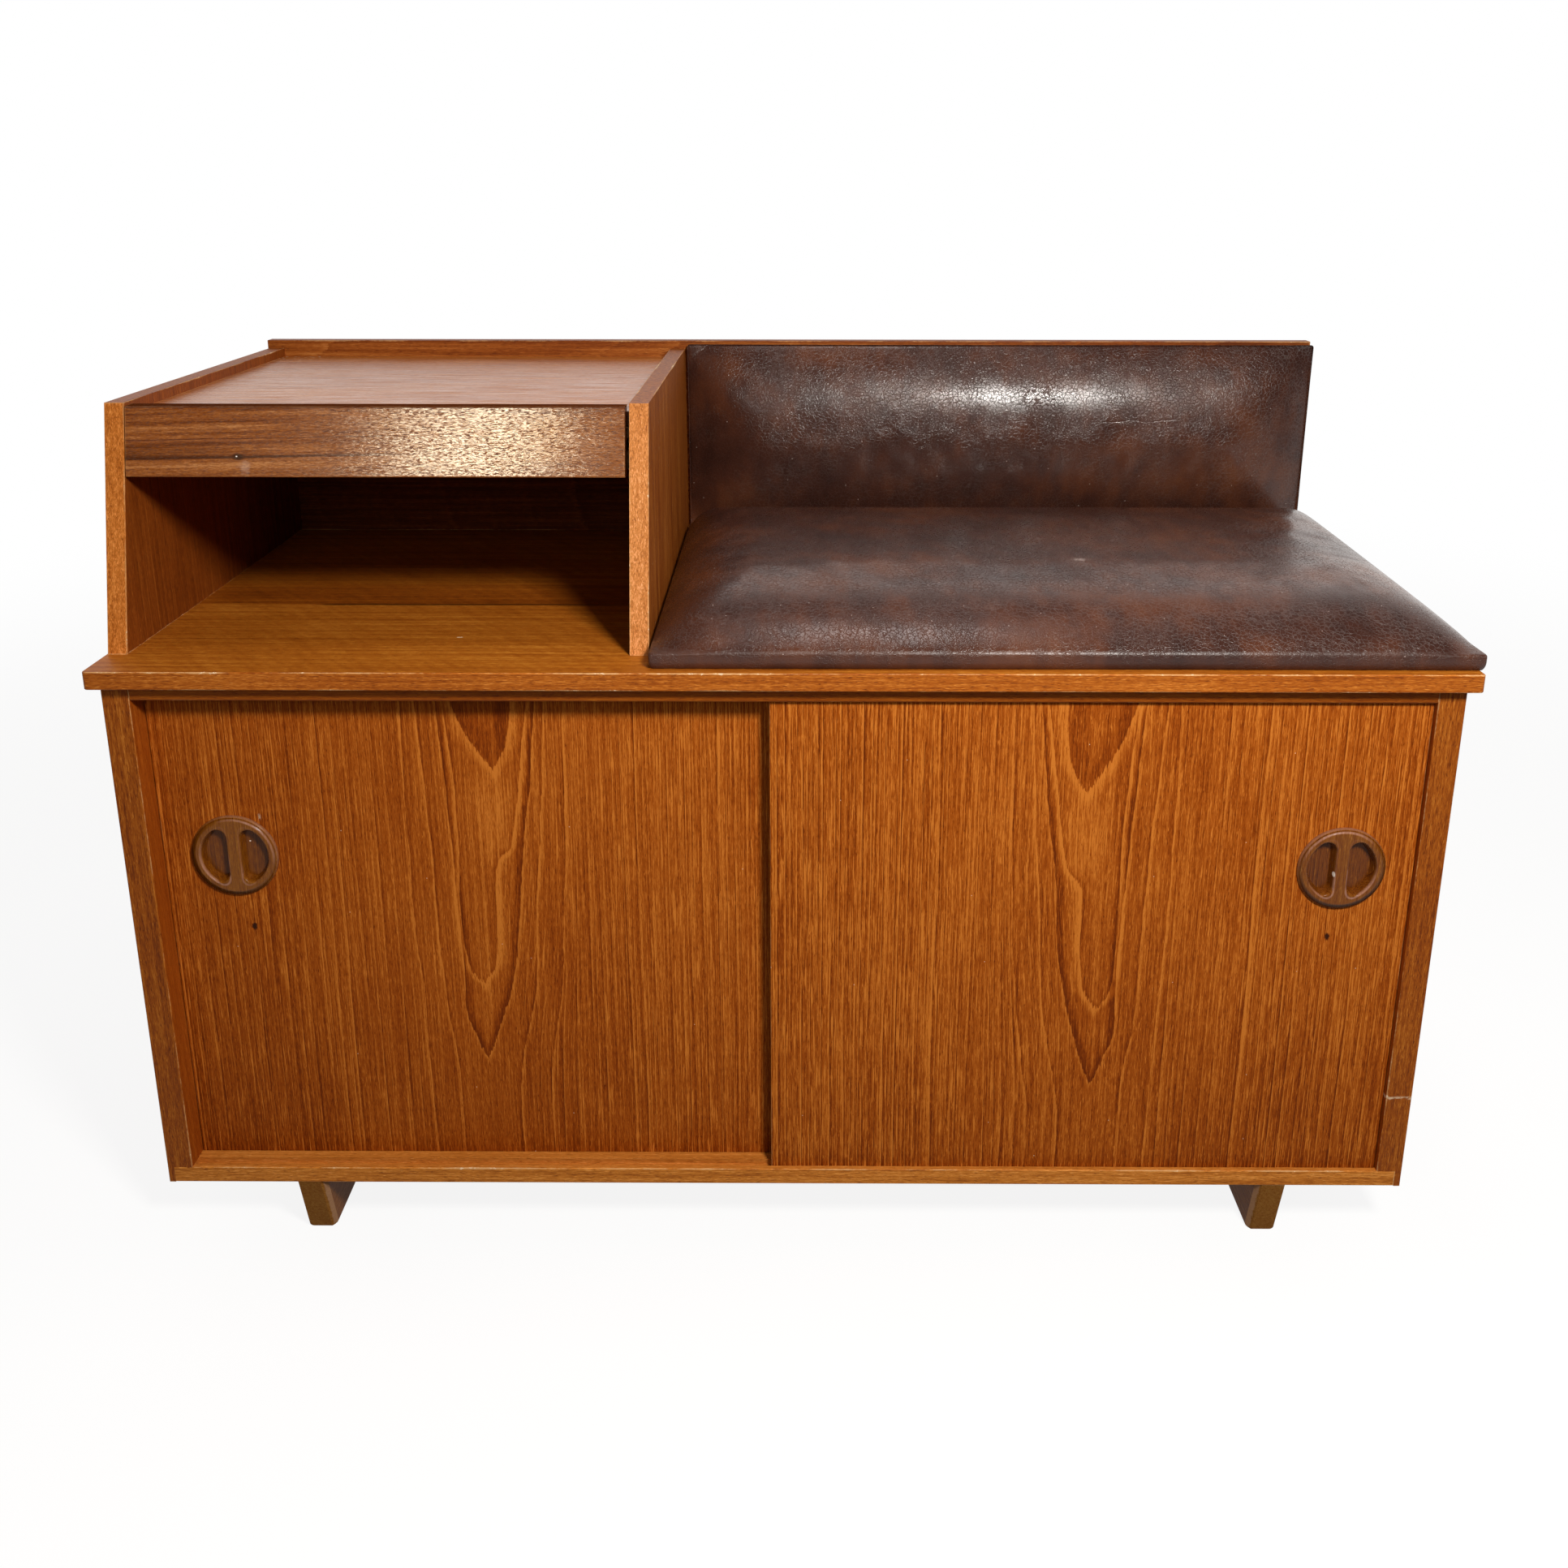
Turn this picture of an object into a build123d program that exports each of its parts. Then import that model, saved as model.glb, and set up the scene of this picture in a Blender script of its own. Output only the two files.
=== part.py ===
"""Telephone bench: a low cabinet with two sliding doors, a padded seat and a phone shelf."""
import os

from build123d import *

# Millimetres. X runs along the bench, the front faces -Y and Z is up from the floor.
# X = 0 and Y = 0 are the middle of the bench.

# Overall
bench_length = 950.0
bench_depth = 408.0
foot_height = 52.0
cabinet_height = 402.0
seat_board_thickness = 13.0
upper_unit_height = 171.0
back_board_rise = 7.0

# Cabinet
side_overhang = 7.0
front_overhang = 9.0
rear_overhang = 8.0
side_thickness = 19.0
side_lip = 5.0
bottom_thickness = 13.0
partition_thickness = 13.0
partition_clearance = 7.0
cabinet_back_thickness = 4.0
cabinet_back_rabbet = 8.0
board_corner_radius = 3.0
arris_radius = 0.9

# Door tracks, both doors and their pulls
track_lip = 4.0
track_groove = 7.6
track_land = 7.6
rail_height = 11.5
rail_edge_radius = 2.5
upper_groove_depth = 8.5
lower_groove_depth = 4.5
door_thickness = 7.0
door_overlap = 19.0
door_end_gap = 0.3
door_floor_gap = 0.3
door_roof_gap = 4.5
pull_radius = 31.5
pull_rim = 6.6
pull_bar = 8.8
pull_recess_depth = 7.0
pull_recess_corner = 7.0
pull_wall_slope = 20.0
pull_projection = 2.5
pull_flange = 2.5
pull_edge_radius = 1.9
pull_lip_radius = 1.5
pull_inset = 51.7
pull_drop = 126.0

# Feet
runner_thickness = 21.0
left_runner_inset = 98.0
right_runner_inset = 87.0
runner_front_setback = 0.5
runner_slant = 14.0
runner_chamfer = 4.0
runner_edge_radius = 3.0

# Phone shelf unit
panel_thickness = 13.5
panel_end_inset = 1.5
panel_foot_setback = 36.5
panel_top_setback = 78.0
phone_bay_width = 352.5
back_board_thickness = 13.0
phone_shelf_drop = 7.5
phone_shelf_thickness = 10.0
shelf_to_front_gap = 0.5

# Drawer under the phone shelf
drawer_front_drop = 2.4
drawer_front_height = 48.0
drawer_front_depth = 13.4
drawer_left_gap = 0.8
drawer_right_gap = 3.2
drawer_side_thickness = 8.0
drawer_side_gap = 1.0
drawer_top_gap = 1.0
drawer_side_height = 28.5
drawer_rear_gap = 15.0
drawer_bottom_thickness = 3.5
drawer_bottom_rise = 3.0
drawer_bottom_housing = 3.0
drawer_runner_height = 8.0
drawer_runner_bite = 4.0
drawer_runner_rise = 13.0
drawer_runner_setback = 16.0
drawer_running_gap = 0.3

# Upholstery
seat_pad_front_setback = 7.4
pad_divider_gap = 2.2
seat_pad_edge = 12.0
seat_pad_crown = 31.0
backrest_edge = 13.0
backrest_crown = 21.0
backrest_floor_gap = 1.0
backrest_toe = 14.0
backrest_top_drop = 3.5
backrest_right_gap = 2.5
pad_to_pad_gap = 1.0
pad_shoulder = 46.0
pad_shoulder_fullness = 0.75
pad_rise_run = 0.38
pad_rise_fullness = 0.48
pad_end_crown = 1.5
pad_draw_in = 1.5
pad_end_run = 130.0
seat_base_thickness = 6.0
backrest_base_thickness = 5.0
pad_base_margin = 14.0
pad_base_fit = 0.3

# Fasteners: radius and length, or for screws the shank, the head and the length
bore_fit = 0.1
dowel_radius = 4.0
dowel_length = 28.0
dowel_bite = 9.0
slim_dowel_radius = 3.0
slim_dowel_length = 20.0
slim_dowel_bite = 8.0
screw_shank = 2.0
screw_head = 4.0
small_screw_shank = 1.4
small_screw_head = 2.5
small_screw_length = 12.0
pin_radius = 0.8
pin_head = 1.6
pin_length = 16.0
runner_screw_length = 38.0
bottom_screw_length = 34.0
back_board_screw_length = 36.0
pad_screw_bite = 4.0
rail_screw_length = 19.0
fastener_end_inset = 40.0
pad_screw_inset = 20.0
shelf_dowel_setback = 60.0
upper_screw_drop = 20.0

# Levels
z_cabinet = foot_height
z_bottom_top = z_cabinet + bottom_thickness
z_seat_under = z_cabinet + cabinet_height
z_seat = z_seat_under + seat_board_thickness
z_rail = z_seat_under - rail_height
z_panel_top = z_seat + upper_unit_height
z_back_top = z_panel_top + back_board_rise
z_shelf_top = z_panel_top - phone_shelf_drop
z_shelf_under = z_shelf_top - phone_shelf_thickness

# Planes from left to right
x_end = bench_length / 2
x_side = x_end - side_overhang
x_inner = x_side - side_thickness
x_panel = -x_end + panel_end_inset
x_bay_left = x_panel + panel_thickness
x_bay_right = x_bay_left + phone_bay_width
x_pad = x_bay_right + panel_thickness + pad_divider_gap

# Planes from front to back
y_front = -bench_depth / 2
y_rear = bench_depth / 2
y_cabinet = y_front + front_overhang
y_cabinet_rear = y_rear - rear_overhang
y_cabinet_back = y_cabinet_rear - cabinet_back_thickness
y_groove_front = y_cabinet + track_lip
y_groove_rear = y_groove_front + track_groove + track_land
y_rail_rear = y_groove_rear + track_groove + track_lip
y_partition = y_rail_rear + partition_clearance
y_back_board = y_rear - back_board_thickness
y_panel_foot = y_front + panel_foot_setback
y_panel_top = y_front + panel_top_setback

# Ways that a fastener can point, as rotations of one that points down
DOWN = Rotation(0, 0, 0)
UP = Rotation(180, 0, 0)
FORWARD = Rotation(-90, 0, 0)
LEFT = Rotation(0, 90, 0)
RIGHT = Rotation(0, -90, 0)

nodes = {}


def block(x0, x1, y0, y1, z0, z1):
    """A square-edged board between two planes on each axis."""
    size = (x1 - x0, y1 - y0, z1 - z0)
    return Pos((x0 + x1) / 2, (y0 + y1) / 2, (z0 + z1) / 2) * Box(*size)


def slab(x0, x1, outline):
    """A board whose edge outline is a list of (y, z) points."""
    return extrude(Plane.YZ.offset(x0) * Polygon(*outline, align=None), amount=x1 - x0)


def soften(board, radius=arris_radius):
    """Break the long arrises of a board that show."""
    return fillet(board.edges().filter_by(Axis.X), radius)


def spread(low, high, count):
    """Evenly spaced places from low to high, both included."""
    return [low + (high - low) * i / (count - 1) for i in range(count)]


def lean(z):
    """Y of the leaning front line of the upper panels at a height."""
    return y_panel_foot + (y_panel_top - y_panel_foot) * (z - z_seat) / upper_unit_height


def screw(length, shank=screw_shank, head=screw_head, grow=0.0):
    """Countersunk screw that points down from the origin."""
    top = (Align.CENTER, Align.CENTER, Align.MAX)
    body = Cylinder(shank + grow, length + grow, align=top)
    return body + Cone(shank + grow, head + grow, head - shank, align=top)


def dowel(radius, length, bite, grow=0.0):
    """Dowel that reaches a bite above the origin and the rest below it."""
    middle = bite - length / 2
    return Pos(0, 0, middle) * Cylinder(radius + grow, length + 2 * grow)


def panel_pin(grow=0.0):
    """Flat-headed pin that points down from the origin."""
    top = (Align.CENTER, Align.CENTER, Align.MAX)
    body = Cylinder(pin_radius + grow, pin_length + grow, align=top)
    return body + Cylinder(pin_head + grow, pin_radius, align=top)


class Fasteners:
    """Like fasteners in their places, with the bores that they need."""

    def __init__(self, maker, places, *sizes):
        self.solids = [Pos(*at) * turn * maker(*sizes) for at, turn in places]
        self.bores = [Pos(*at) * turn * maker(*sizes, grow=bore_fit) for at, turn in places]

    def node(self):
        """All of them as one group of separate solids."""
        return Compound(children=self.solids)


# ---------------------------------------------------------------- places of the fasteners
y_carcass = spread(y_partition + fastener_end_inset, y_cabinet_back - fastener_end_inset, 3)
x_side_middle = x_inner + (side_thickness - side_lip) / 2
cabinet_dowels = Fasteners(
    dowel,
    [((x, y, z_seat_under), DOWN) for x in (-x_side_middle, 0.0, x_side_middle) for y in y_carcass],
    dowel_radius, dowel_length, dowel_bite,
)
bottom_screws = Fasteners(
    screw,
    [((x, y, z_cabinet), UP) for x in (-x_side_middle, 0.0, x_side_middle) for y in y_carcass],
    bottom_screw_length,
)
x_left_runner = -x_side + left_runner_inset + runner_thickness / 2
x_right_runner = x_side - right_runner_inset - runner_thickness / 2
runner_screws = Fasteners(
    screw,
    [((x, y, z_bottom_top), DOWN) for x in (x_left_runner, x_right_runner) for y in y_carcass],
    runner_screw_length,
)
y_land = y_groove_front + track_groove + track_land / 2
rail_screws = Fasteners(
    screw,
    [((x, y_land, z_rail), UP)
     for x in spread(fastener_end_inset - x_inner, x_inner - fastener_end_inset, 5)],
    rail_screw_length, small_screw_shank, small_screw_head,
)
y_panel_dowels = (y_panel_foot + fastener_end_inset, y_back_board - fastener_end_inset)
x_panel_middles = (x_bay_left - panel_thickness / 2, x_bay_right + panel_thickness / 2)
panel_dowels = Fasteners(
    dowel,
    [((x, y, z_seat), UP) for x in x_panel_middles for y in y_panel_dowels],
    slim_dowel_radius, slim_dowel_length, slim_dowel_bite,
)
y_shelf_dowels = (y_panel_top + shelf_dowel_setback, y_back_board - fastener_end_inset)
z_shelf_middle = z_shelf_top - phone_shelf_thickness / 2
shelf_dowels = Fasteners(
    dowel,
    [((x_bay_left, y, z_shelf_middle), RIGHT) for y in y_shelf_dowels]
    + [((x_bay_right, y, z_shelf_middle), LEFT) for y in y_shelf_dowels],
    slim_dowel_radius, slim_dowel_length, slim_dowel_bite,
)
z_panel_screws = (z_seat + fastener_end_inset, z_shelf_under - upper_screw_drop)
y_back_middle = y_back_board + back_board_thickness / 2
back_board_screws = Fasteners(
    screw,
    [((x, y_rear, z), FORWARD) for x in x_panel_middles for z in z_panel_screws]
    + [((x, y_back_middle, z_seat_under), UP)
       for x in spread(fastener_end_inset - x_inner, x_inner - fastener_end_inset, 4)],
    back_board_screw_length,
)
x_back_pins = spread(fastener_end_inset - x_inner, x_inner - fastener_end_inset, 6)
z_back_pins = spread(z_bottom_top + fastener_end_inset, z_seat_under - fastener_end_inset, 4)
x_pin_column = x_inner + cabinet_back_rabbet / 2
z_pin_row = z_cabinet + bottom_thickness / 2
back_pins = Fasteners(
    panel_pin,
    [((x, y_cabinet_rear, z_pin_row), FORWARD) for x in x_back_pins]
    + [((x, y_cabinet_rear, z), FORWARD) for x in (-x_pin_column, x_pin_column) for z in z_back_pins]
    + [((0.0, y_cabinet_rear, z), FORWARD) for z in z_back_pins],
)

# ---------------------------------------------------------------- cabinet
seat_board = block(-x_end, x_end, y_front, y_rear, z_seat_under, z_seat)
seat_board = soften(fillet(seat_board.edges().filter_by(Axis.Z), board_corner_radius))


def side_panel(hand):
    """Side of the cabinet: hand is -1 on the left and 1 on the right."""
    x_low, x_high = sorted((hand * x_inner, hand * x_side))
    side = block(x_low, x_high, y_cabinet, y_cabinet_rear, z_cabinet, z_seat_under)
    outer = side.edges().filter_by(Axis.Z).sort_by(Axis.Y)[:2]
    side = fillet(outer, arris_radius)
    x_low, x_high = sorted((hand * x_inner, hand * (x_side - side_lip)))
    side -= block(x_low, x_high, y_cabinet, y_cabinet_rear, z_cabinet, z_bottom_top)
    x_low, x_high = sorted((hand * x_inner, hand * (x_inner + cabinet_back_rabbet)))
    side -= block(x_low, x_high, y_cabinet_back, y_cabinet_rear, z_cabinet, z_seat_under)
    return side - cabinet_dowels.bores - bottom_screws.bores - back_pins.bores


x_bottom = x_side - side_lip
bottom_board = block(-x_bottom, x_bottom, y_cabinet, y_cabinet_back, z_cabinet, z_bottom_top)
bottom_board = fillet(bottom_board.edges().filter_by(Axis.X).sort_by(Axis.Y)[:2], arris_radius)
track_rail = block(-x_inner, x_inner, y_cabinet, y_rail_rear, z_rail, z_seat_under)
rail_edge = track_rail.edges().filter_by(Axis.X).group_by(Axis.Z)[0].sort_by(Axis.Y)[0]
track_rail = fillet(rail_edge, rail_edge_radius)
for y_groove in (y_groove_front, y_groove_rear):
    y_far = y_groove + track_groove
    z_floor = z_bottom_top - lower_groove_depth
    bottom_board -= block(-x_inner, x_inner, y_groove, y_far, z_floor, z_bottom_top)
    track_rail -= block(-x_inner, x_inner, y_groove, y_far, z_rail, z_rail + upper_groove_depth)

x_half_partition = partition_thickness / 2
partition = block(
    -x_half_partition, x_half_partition, y_partition, y_cabinet_back, z_bottom_top, z_seat_under
)
x_back_end = x_inner + cabinet_back_rabbet
cabinet_back = block(-x_back_end, x_back_end, y_cabinet_back, y_cabinet_rear, z_cabinet, z_seat_under)

nodes["side_panel_left"] = side_panel(-1)
nodes["side_panel_right"] = side_panel(1)
nodes["bottom_board"] = bottom_board - bottom_screws.bores - runner_screws.bores - back_pins.bores
nodes["upper_track_rail"] = track_rail - rail_screws.bores
nodes["centre_partition"] = partition - cabinet_dowels.bores - bottom_screws.bores - back_pins.bores
nodes["cabinet_back_panel"] = cabinet_back - back_pins.bores
nodes["cabinet_back_pins"] = back_pins.node()
nodes["cabinet_dowels"] = cabinet_dowels.node()
nodes["bottom_board_screws"] = bottom_screws.node()
nodes["track_rail_screws"] = rail_screws.node()


# ---------------------------------------------------------------- feet
def runner(x_middle):
    """Foot that runs front to back, with ends that slope in towards the floor."""
    y0 = y_cabinet + runner_front_setback
    y1 = y_cabinet_rear - runner_front_setback
    outline = [(y0, z_cabinet), (y0 + runner_slant, 0), (y1 - runner_slant, 0), (y1, z_cabinet)]
    foot = slab(x_middle - runner_thickness / 2, x_middle + runner_thickness / 2, outline)
    slopes = foot.edges().filter_by(Axis.X, reverse=True).filter_by(Axis.Y, reverse=True)
    inner_slopes = slopes.sort_by(Axis.X)[:2] if x_middle > 0 else slopes.sort_by(Axis.X)[-2:]
    foot = chamfer(inner_slopes, runner_chamfer)
    foot = fillet(foot.edges().filter_by(Axis.Y).group_by(Axis.Z)[0], runner_edge_radius)
    return foot - runner_screws.bores


nodes["runner_left"] = runner(x_left_runner)
nodes["runner_right"] = runner(x_right_runner)
nodes["runner_screws"] = runner_screws.node()

# ---------------------------------------------------------------- back board and upper panels
back_board = block(-x_end, x_end, y_back_board, y_rear, z_seat, z_back_top)
back_board = fillet(back_board.edges().filter_by(Axis.X).group_by(Axis.Z)[-1], arris_radius)


def upper_panel(x0):
    """Upright panel with a front edge that leans back."""
    outline = [(y_panel_foot, z_seat), (y_back_board, z_seat), (y_back_board, z_panel_top),
               (y_panel_top, z_panel_top)]
    return slab(x0, x0 + panel_thickness, outline)


# ---------------------------------------------------------------- drawer
z_front_top = z_panel_top - drawer_front_drop
z_front_low = z_front_top - drawer_front_height
z_side_top = z_shelf_under - drawer_top_gap
z_side_low = z_side_top - drawer_side_height
z_drawer_floor = z_side_low + drawer_bottom_rise
z_drawer_inside = z_drawer_floor + drawer_bottom_thickness
z_runner_low = z_side_low + drawer_runner_rise
z_runner_high = z_runner_low + drawer_runner_height
y_drawer_rear = y_back_board - drawer_rear_gap
x_drawer_left = x_bay_left + drawer_side_gap
x_drawer_right = x_bay_right - drawer_side_gap
runner_reach = drawer_side_gap + drawer_runner_bite


def behind_front(z):
    """Y of the drawer front's leaning rear face at a height."""
    return lean(z) + drawer_front_depth


def leaning_outline(y_far, z0, z1):
    """Edge outline of a piece that butts against the drawer front from behind."""
    return [(behind_front(z0), z0), (y_far, z0), (y_far, z1), (behind_front(z1), z1)]


front_outline = [(lean(z_front_low), z_front_low), (behind_front(z_front_low), z_front_low),
                 (behind_front(z_front_top), z_front_top), (lean(z_front_top), z_front_top)]
drawer_front = slab(x_bay_left + drawer_left_gap, x_bay_right - drawer_right_gap, front_outline)
drawer_front = soften(drawer_front)

x_bottom_left = x_drawer_left + drawer_side_thickness - drawer_bottom_housing
x_bottom_right = x_drawer_right - drawer_side_thickness + drawer_bottom_housing
drawer_bottom = slab(x_bottom_left, x_bottom_right, [
    (behind_front(z_drawer_floor) - drawer_bottom_housing, z_drawer_floor),
    (y_drawer_rear, z_drawer_floor),
    (y_drawer_rear, z_drawer_inside),
    (behind_front(z_drawer_inside) - drawer_bottom_housing, z_drawer_inside),
])
drawer_front -= drawer_bottom


def drawer_side(x0):
    """Drawer side with a groove outside for its runner and one inside for the bottom."""
    side = slab(x0, x0 + drawer_side_thickness, leaning_outline(y_drawer_rear, z_side_low, z_side_top))
    z0 = z_runner_low - drawer_running_gap
    z1 = z_runner_high + drawer_running_gap
    deep = drawer_runner_bite + drawer_running_gap
    on_left = x0 < x_bay_left + phone_bay_width / 2
    x_cut = x0 if on_left else x0 + drawer_side_thickness - deep
    side -= slab(x_cut, x_cut + deep, leaning_outline(y_drawer_rear, z0, z1))
    return side - drawer_bottom


drawer_back = block(
    x_drawer_left + drawer_side_thickness, x_drawer_right - drawer_side_thickness,
    y_drawer_rear - drawer_side_thickness, y_drawer_rear, z_drawer_inside, z_side_top,
)
nodes["drawer_front"] = drawer_front
nodes["drawer_side_left"] = drawer_side(x_drawer_left)
nodes["drawer_side_right"] = drawer_side(x_drawer_right - drawer_side_thickness)
nodes["drawer_back"] = drawer_back
nodes["drawer_bottom"] = drawer_bottom

# Battens on the two panels carry the drawer
y_runner_front = behind_front(z_runner_high) + drawer_runner_setback
y_runner_rear = y_back_board - drawer_runner_setback
y_runner_screws = spread(y_runner_front + fastener_end_inset, y_runner_rear - fastener_end_inset, 2)
z_runner_middle = (z_runner_low + z_runner_high) / 2
x_left_runner_face = x_bay_left + runner_reach
x_right_runner_face = x_bay_right - runner_reach
drawer_runner_screws = Fasteners(
    screw,
    [((x_left_runner_face, y, z_runner_middle), LEFT) for y in y_runner_screws]
    + [((x_right_runner_face, y, z_runner_middle), RIGHT) for y in y_runner_screws],
    small_screw_length, small_screw_shank, small_screw_head,
)
left_batten = block(
    x_bay_left, x_left_runner_face, y_runner_front, y_runner_rear, z_runner_low, z_runner_high
)
right_batten = block(
    x_right_runner_face, x_bay_right, y_runner_front, y_runner_rear, z_runner_low, z_runner_high
)
nodes["drawer_runner_left"] = left_batten - drawer_runner_screws.bores
nodes["drawer_runner_right"] = right_batten - drawer_runner_screws.bores
nodes["drawer_runner_screws"] = drawer_runner_screws.node()

# Shelf and panels, bored for what holds them
phone_shelf = block(
    x_bay_left, x_bay_right, behind_front(z_shelf_top) + shelf_to_front_gap, y_back_board,
    z_shelf_under, z_shelf_top,
)
panel_bores = (
    panel_dowels.bores + shelf_dowels.bores + back_board_screws.bores + drawer_runner_screws.bores
)
nodes["phone_shelf"] = phone_shelf - shelf_dowels.bores
nodes["phone_shelf_dowels"] = shelf_dowels.node()
nodes["upper_side_panel"] = upper_panel(x_panel) - panel_bores
nodes["divider_panel"] = upper_panel(x_bay_right) - panel_bores
nodes["upper_panel_dowels"] = panel_dowels.node()

# ---------------------------------------------------------------- upholstery
y_seat_pad = y_front + seat_pad_front_setback
y_backrest = y_back_board - backrest_edge
y_seat_pad_rear = y_backrest - pad_to_pad_gap
seat_pad_width = y_seat_pad_rear - y_seat_pad
z_backrest = z_seat + backrest_floor_gap
backrest_height = z_back_top - backrest_top_drop - z_backrest
# How full the crown is at each distance from an end of a pad
crown_run = [(0.0, 0.0), (0.12, 0.38), (0.35, 0.72), (0.65, 0.92), (1.0, 1.0)]


def pad_section(plane, width, edge, crown, toe, draw):
    """Outline of a pad across its length: flat back, upright edges and a crown of arcs."""
    near = draw
    far = width - draw
    start = near + toe
    high = edge + crown
    waist = edge + pad_shoulder_fullness * crown
    rise = edge + pad_rise_fullness * crown
    shoulder = pad_shoulder
    rise_run = pad_rise_run * shoulder
    parts = [
        Line((near, 0), (near, edge)),
        ThreePointArc((start, edge), (start + rise_run, rise), (start + shoulder, waist)),
        ThreePointArc((start + shoulder, waist), ((start + far) / 2, high), (far - shoulder, waist)),
        ThreePointArc((far - shoulder, waist), (far - rise_run, rise), (far, edge)),
        Line((far, edge), (far, 0)),
        Line((far, 0), (near, 0)),
    ]
    if toe:
        parts.append(Line((near, edge), (start, edge)))
    return plane * make_face(parts)


def crowned_pad(x0, x1, origin, across, width, edge, crown, toe=0.0):
    """Pad from x0 to x1 whose back lies on the plane through origin along the across direction."""
    ends = [(x0 + run * pad_end_run, full) for run, full in crown_run]
    ends += [(x1 - run * pad_end_run, full) for run, full in reversed(crown_run)]
    sections = []
    for x, full in ends:
        plane = Plane(origin=(x, *origin), x_dir=across, z_dir=(1, 0, 0))
        height = pad_end_crown + full * (crown - pad_end_crown)
        sections.append(pad_section(plane, width, edge, height, toe, full * pad_draw_in))
    return loft(sections)


seat_cushion = crowned_pad(
    x_pad, x_end, (y_seat_pad, z_seat), (0, 1, 0), seat_pad_width, seat_pad_edge, seat_pad_crown
)
x_backrest_end = x_end - backrest_right_gap
backrest_cushion = crowned_pad(
    x_pad, x_backrest_end, (y_back_board, z_backrest), (0, 0, 1),
    backrest_height, backrest_edge, backrest_crown, backrest_toe,
)

# Plywood bases, let into the pads from behind
seat_base_box = (x_pad + pad_base_margin, x_end - pad_base_margin,
                 y_seat_pad + pad_base_margin, y_seat_pad_rear - pad_base_margin)
seat_base = block(*seat_base_box, z_seat, z_seat + seat_base_thickness)
back_base_box = (x_pad + pad_base_margin, x_backrest_end - pad_base_margin)
z_back_base = (z_backrest + pad_base_margin, z_backrest + backrest_height - pad_base_margin)
back_base = block(*back_base_box, y_back_board - backrest_base_thickness, y_back_board, *z_back_base)


def pocket(base, rests_on):
    """Room for a base: the base grown by its fit, but not past the face that it rests on."""
    box = base.bounding_box()
    low = [v - pad_base_fit for v in (box.min.X, box.min.Y, box.min.Z)]
    high = [v + pad_base_fit for v in (box.max.X, box.max.Y, box.max.Z)]
    if rests_on == "below":
        low[2] = box.min.Z
    else:
        high[1] = box.max.Y
    return block(low[0], high[0], low[1], high[1], low[2], high[2])


x_pad_screws = spread(
    x_pad + pad_base_margin + fastener_end_inset, x_backrest_end - pad_base_margin - fastener_end_inset, 3
)
y_pad_screws = spread(
    y_seat_pad + pad_base_margin + fastener_end_inset,
    y_seat_pad_rear - pad_base_margin - fastener_end_inset, 2,
)
seat_pad_screws = Fasteners(
    screw,
    [((x, y, z_seat_under), UP) for x in x_pad_screws for y in y_pad_screws],
    seat_board_thickness + pad_screw_bite,
)
z_pad_screws = spread(z_back_base[0] + pad_screw_inset, z_back_base[1] - pad_screw_inset, 2)
backrest_screws = Fasteners(
    screw,
    [((x, y_rear, z), FORWARD) for x in x_pad_screws for z in z_pad_screws],
    back_board_thickness + pad_screw_bite,
)
nodes["seat_board"] = (
    seat_board - cabinet_dowels.bores - panel_dowels.bores - rail_screws.bores
    - back_board_screws.bores - seat_pad_screws.bores
)
nodes["back_board"] = back_board - back_board_screws.bores - backrest_screws.bores
nodes["back_board_screws"] = back_board_screws.node()
nodes["seat_pad_base"] = seat_base - seat_pad_screws.bores
nodes["seat_cushion"] = seat_cushion - pocket(seat_base, "below")
nodes["seat_pad_screws"] = seat_pad_screws.node()
nodes["backrest_base"] = back_base - backrest_screws.bores
nodes["backrest_cushion"] = backrest_cushion - pocket(back_base, "behind")
nodes["backrest_screws"] = backrest_screws.node()

# ---------------------------------------------------------------- sliding doors
door_width = x_inner + door_overlap / 2 - door_end_gap
track_gap = (track_groove - door_thickness) / 2
z_door_low = z_bottom_top - lower_groove_depth + door_floor_gap
z_door_high = z_rail + upper_groove_depth - door_roof_gap
z_pull = z_rail - pull_drop
pull_body_radius = pull_radius - pull_flange


def door(x0, y_groove, x_pull):
    """Door panel in its track, with the hole that takes its pull."""
    y0 = y_groove + track_gap
    panel = block(x0, x0 + door_width, y0, y0 + door_thickness, z_door_low, z_door_high)
    panel = fillet(panel.edges().filter_by(Axis.Z), arris_radius)
    hole = Cylinder(pull_body_radius + bore_fit, 3 * door_thickness)
    return panel - Pos(x_pull, y0, z_pull) * FORWARD * hole


def pull(x_pull, y_groove):
    """Turned round pull with two D-shaped finger recesses either side of an upright bar."""
    y0 = y_groove + track_gap
    thick = pull_projection + door_thickness
    face = Plane(origin=(x_pull, y0 - pull_projection, z_pull), x_dir=(1, 0, 0), z_dir=(0, -1, 0))
    flange = face * extrude(Circle(pull_radius), amount=-pull_projection)
    rim = flange.edges().sort_by(Axis.Y)[0]
    disc = fillet(rim, pull_edge_radius) + face * extrude(Circle(pull_body_radius), amount=-thick)
    mouth_radius = pull_radius - pull_rim
    for hand in (-1, 1):
        square = Rectangle(2 * mouth_radius, 2 * mouth_radius)
        mouth = Circle(mouth_radius) & Pos(hand * (pull_bar / 2 + mouth_radius), 0) * square
        mouth = fillet(mouth.vertices(), pull_recess_corner)
        disc -= face * extrude(mouth, amount=-pull_recess_depth, taper=pull_wall_slope)
    front = disc.faces().sort_by(Axis.Y)[0]
    lips = [edge for wire in front.inner_wires() for edge in wire.edges()]
    return fillet(lips, pull_lip_radius)


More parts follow.
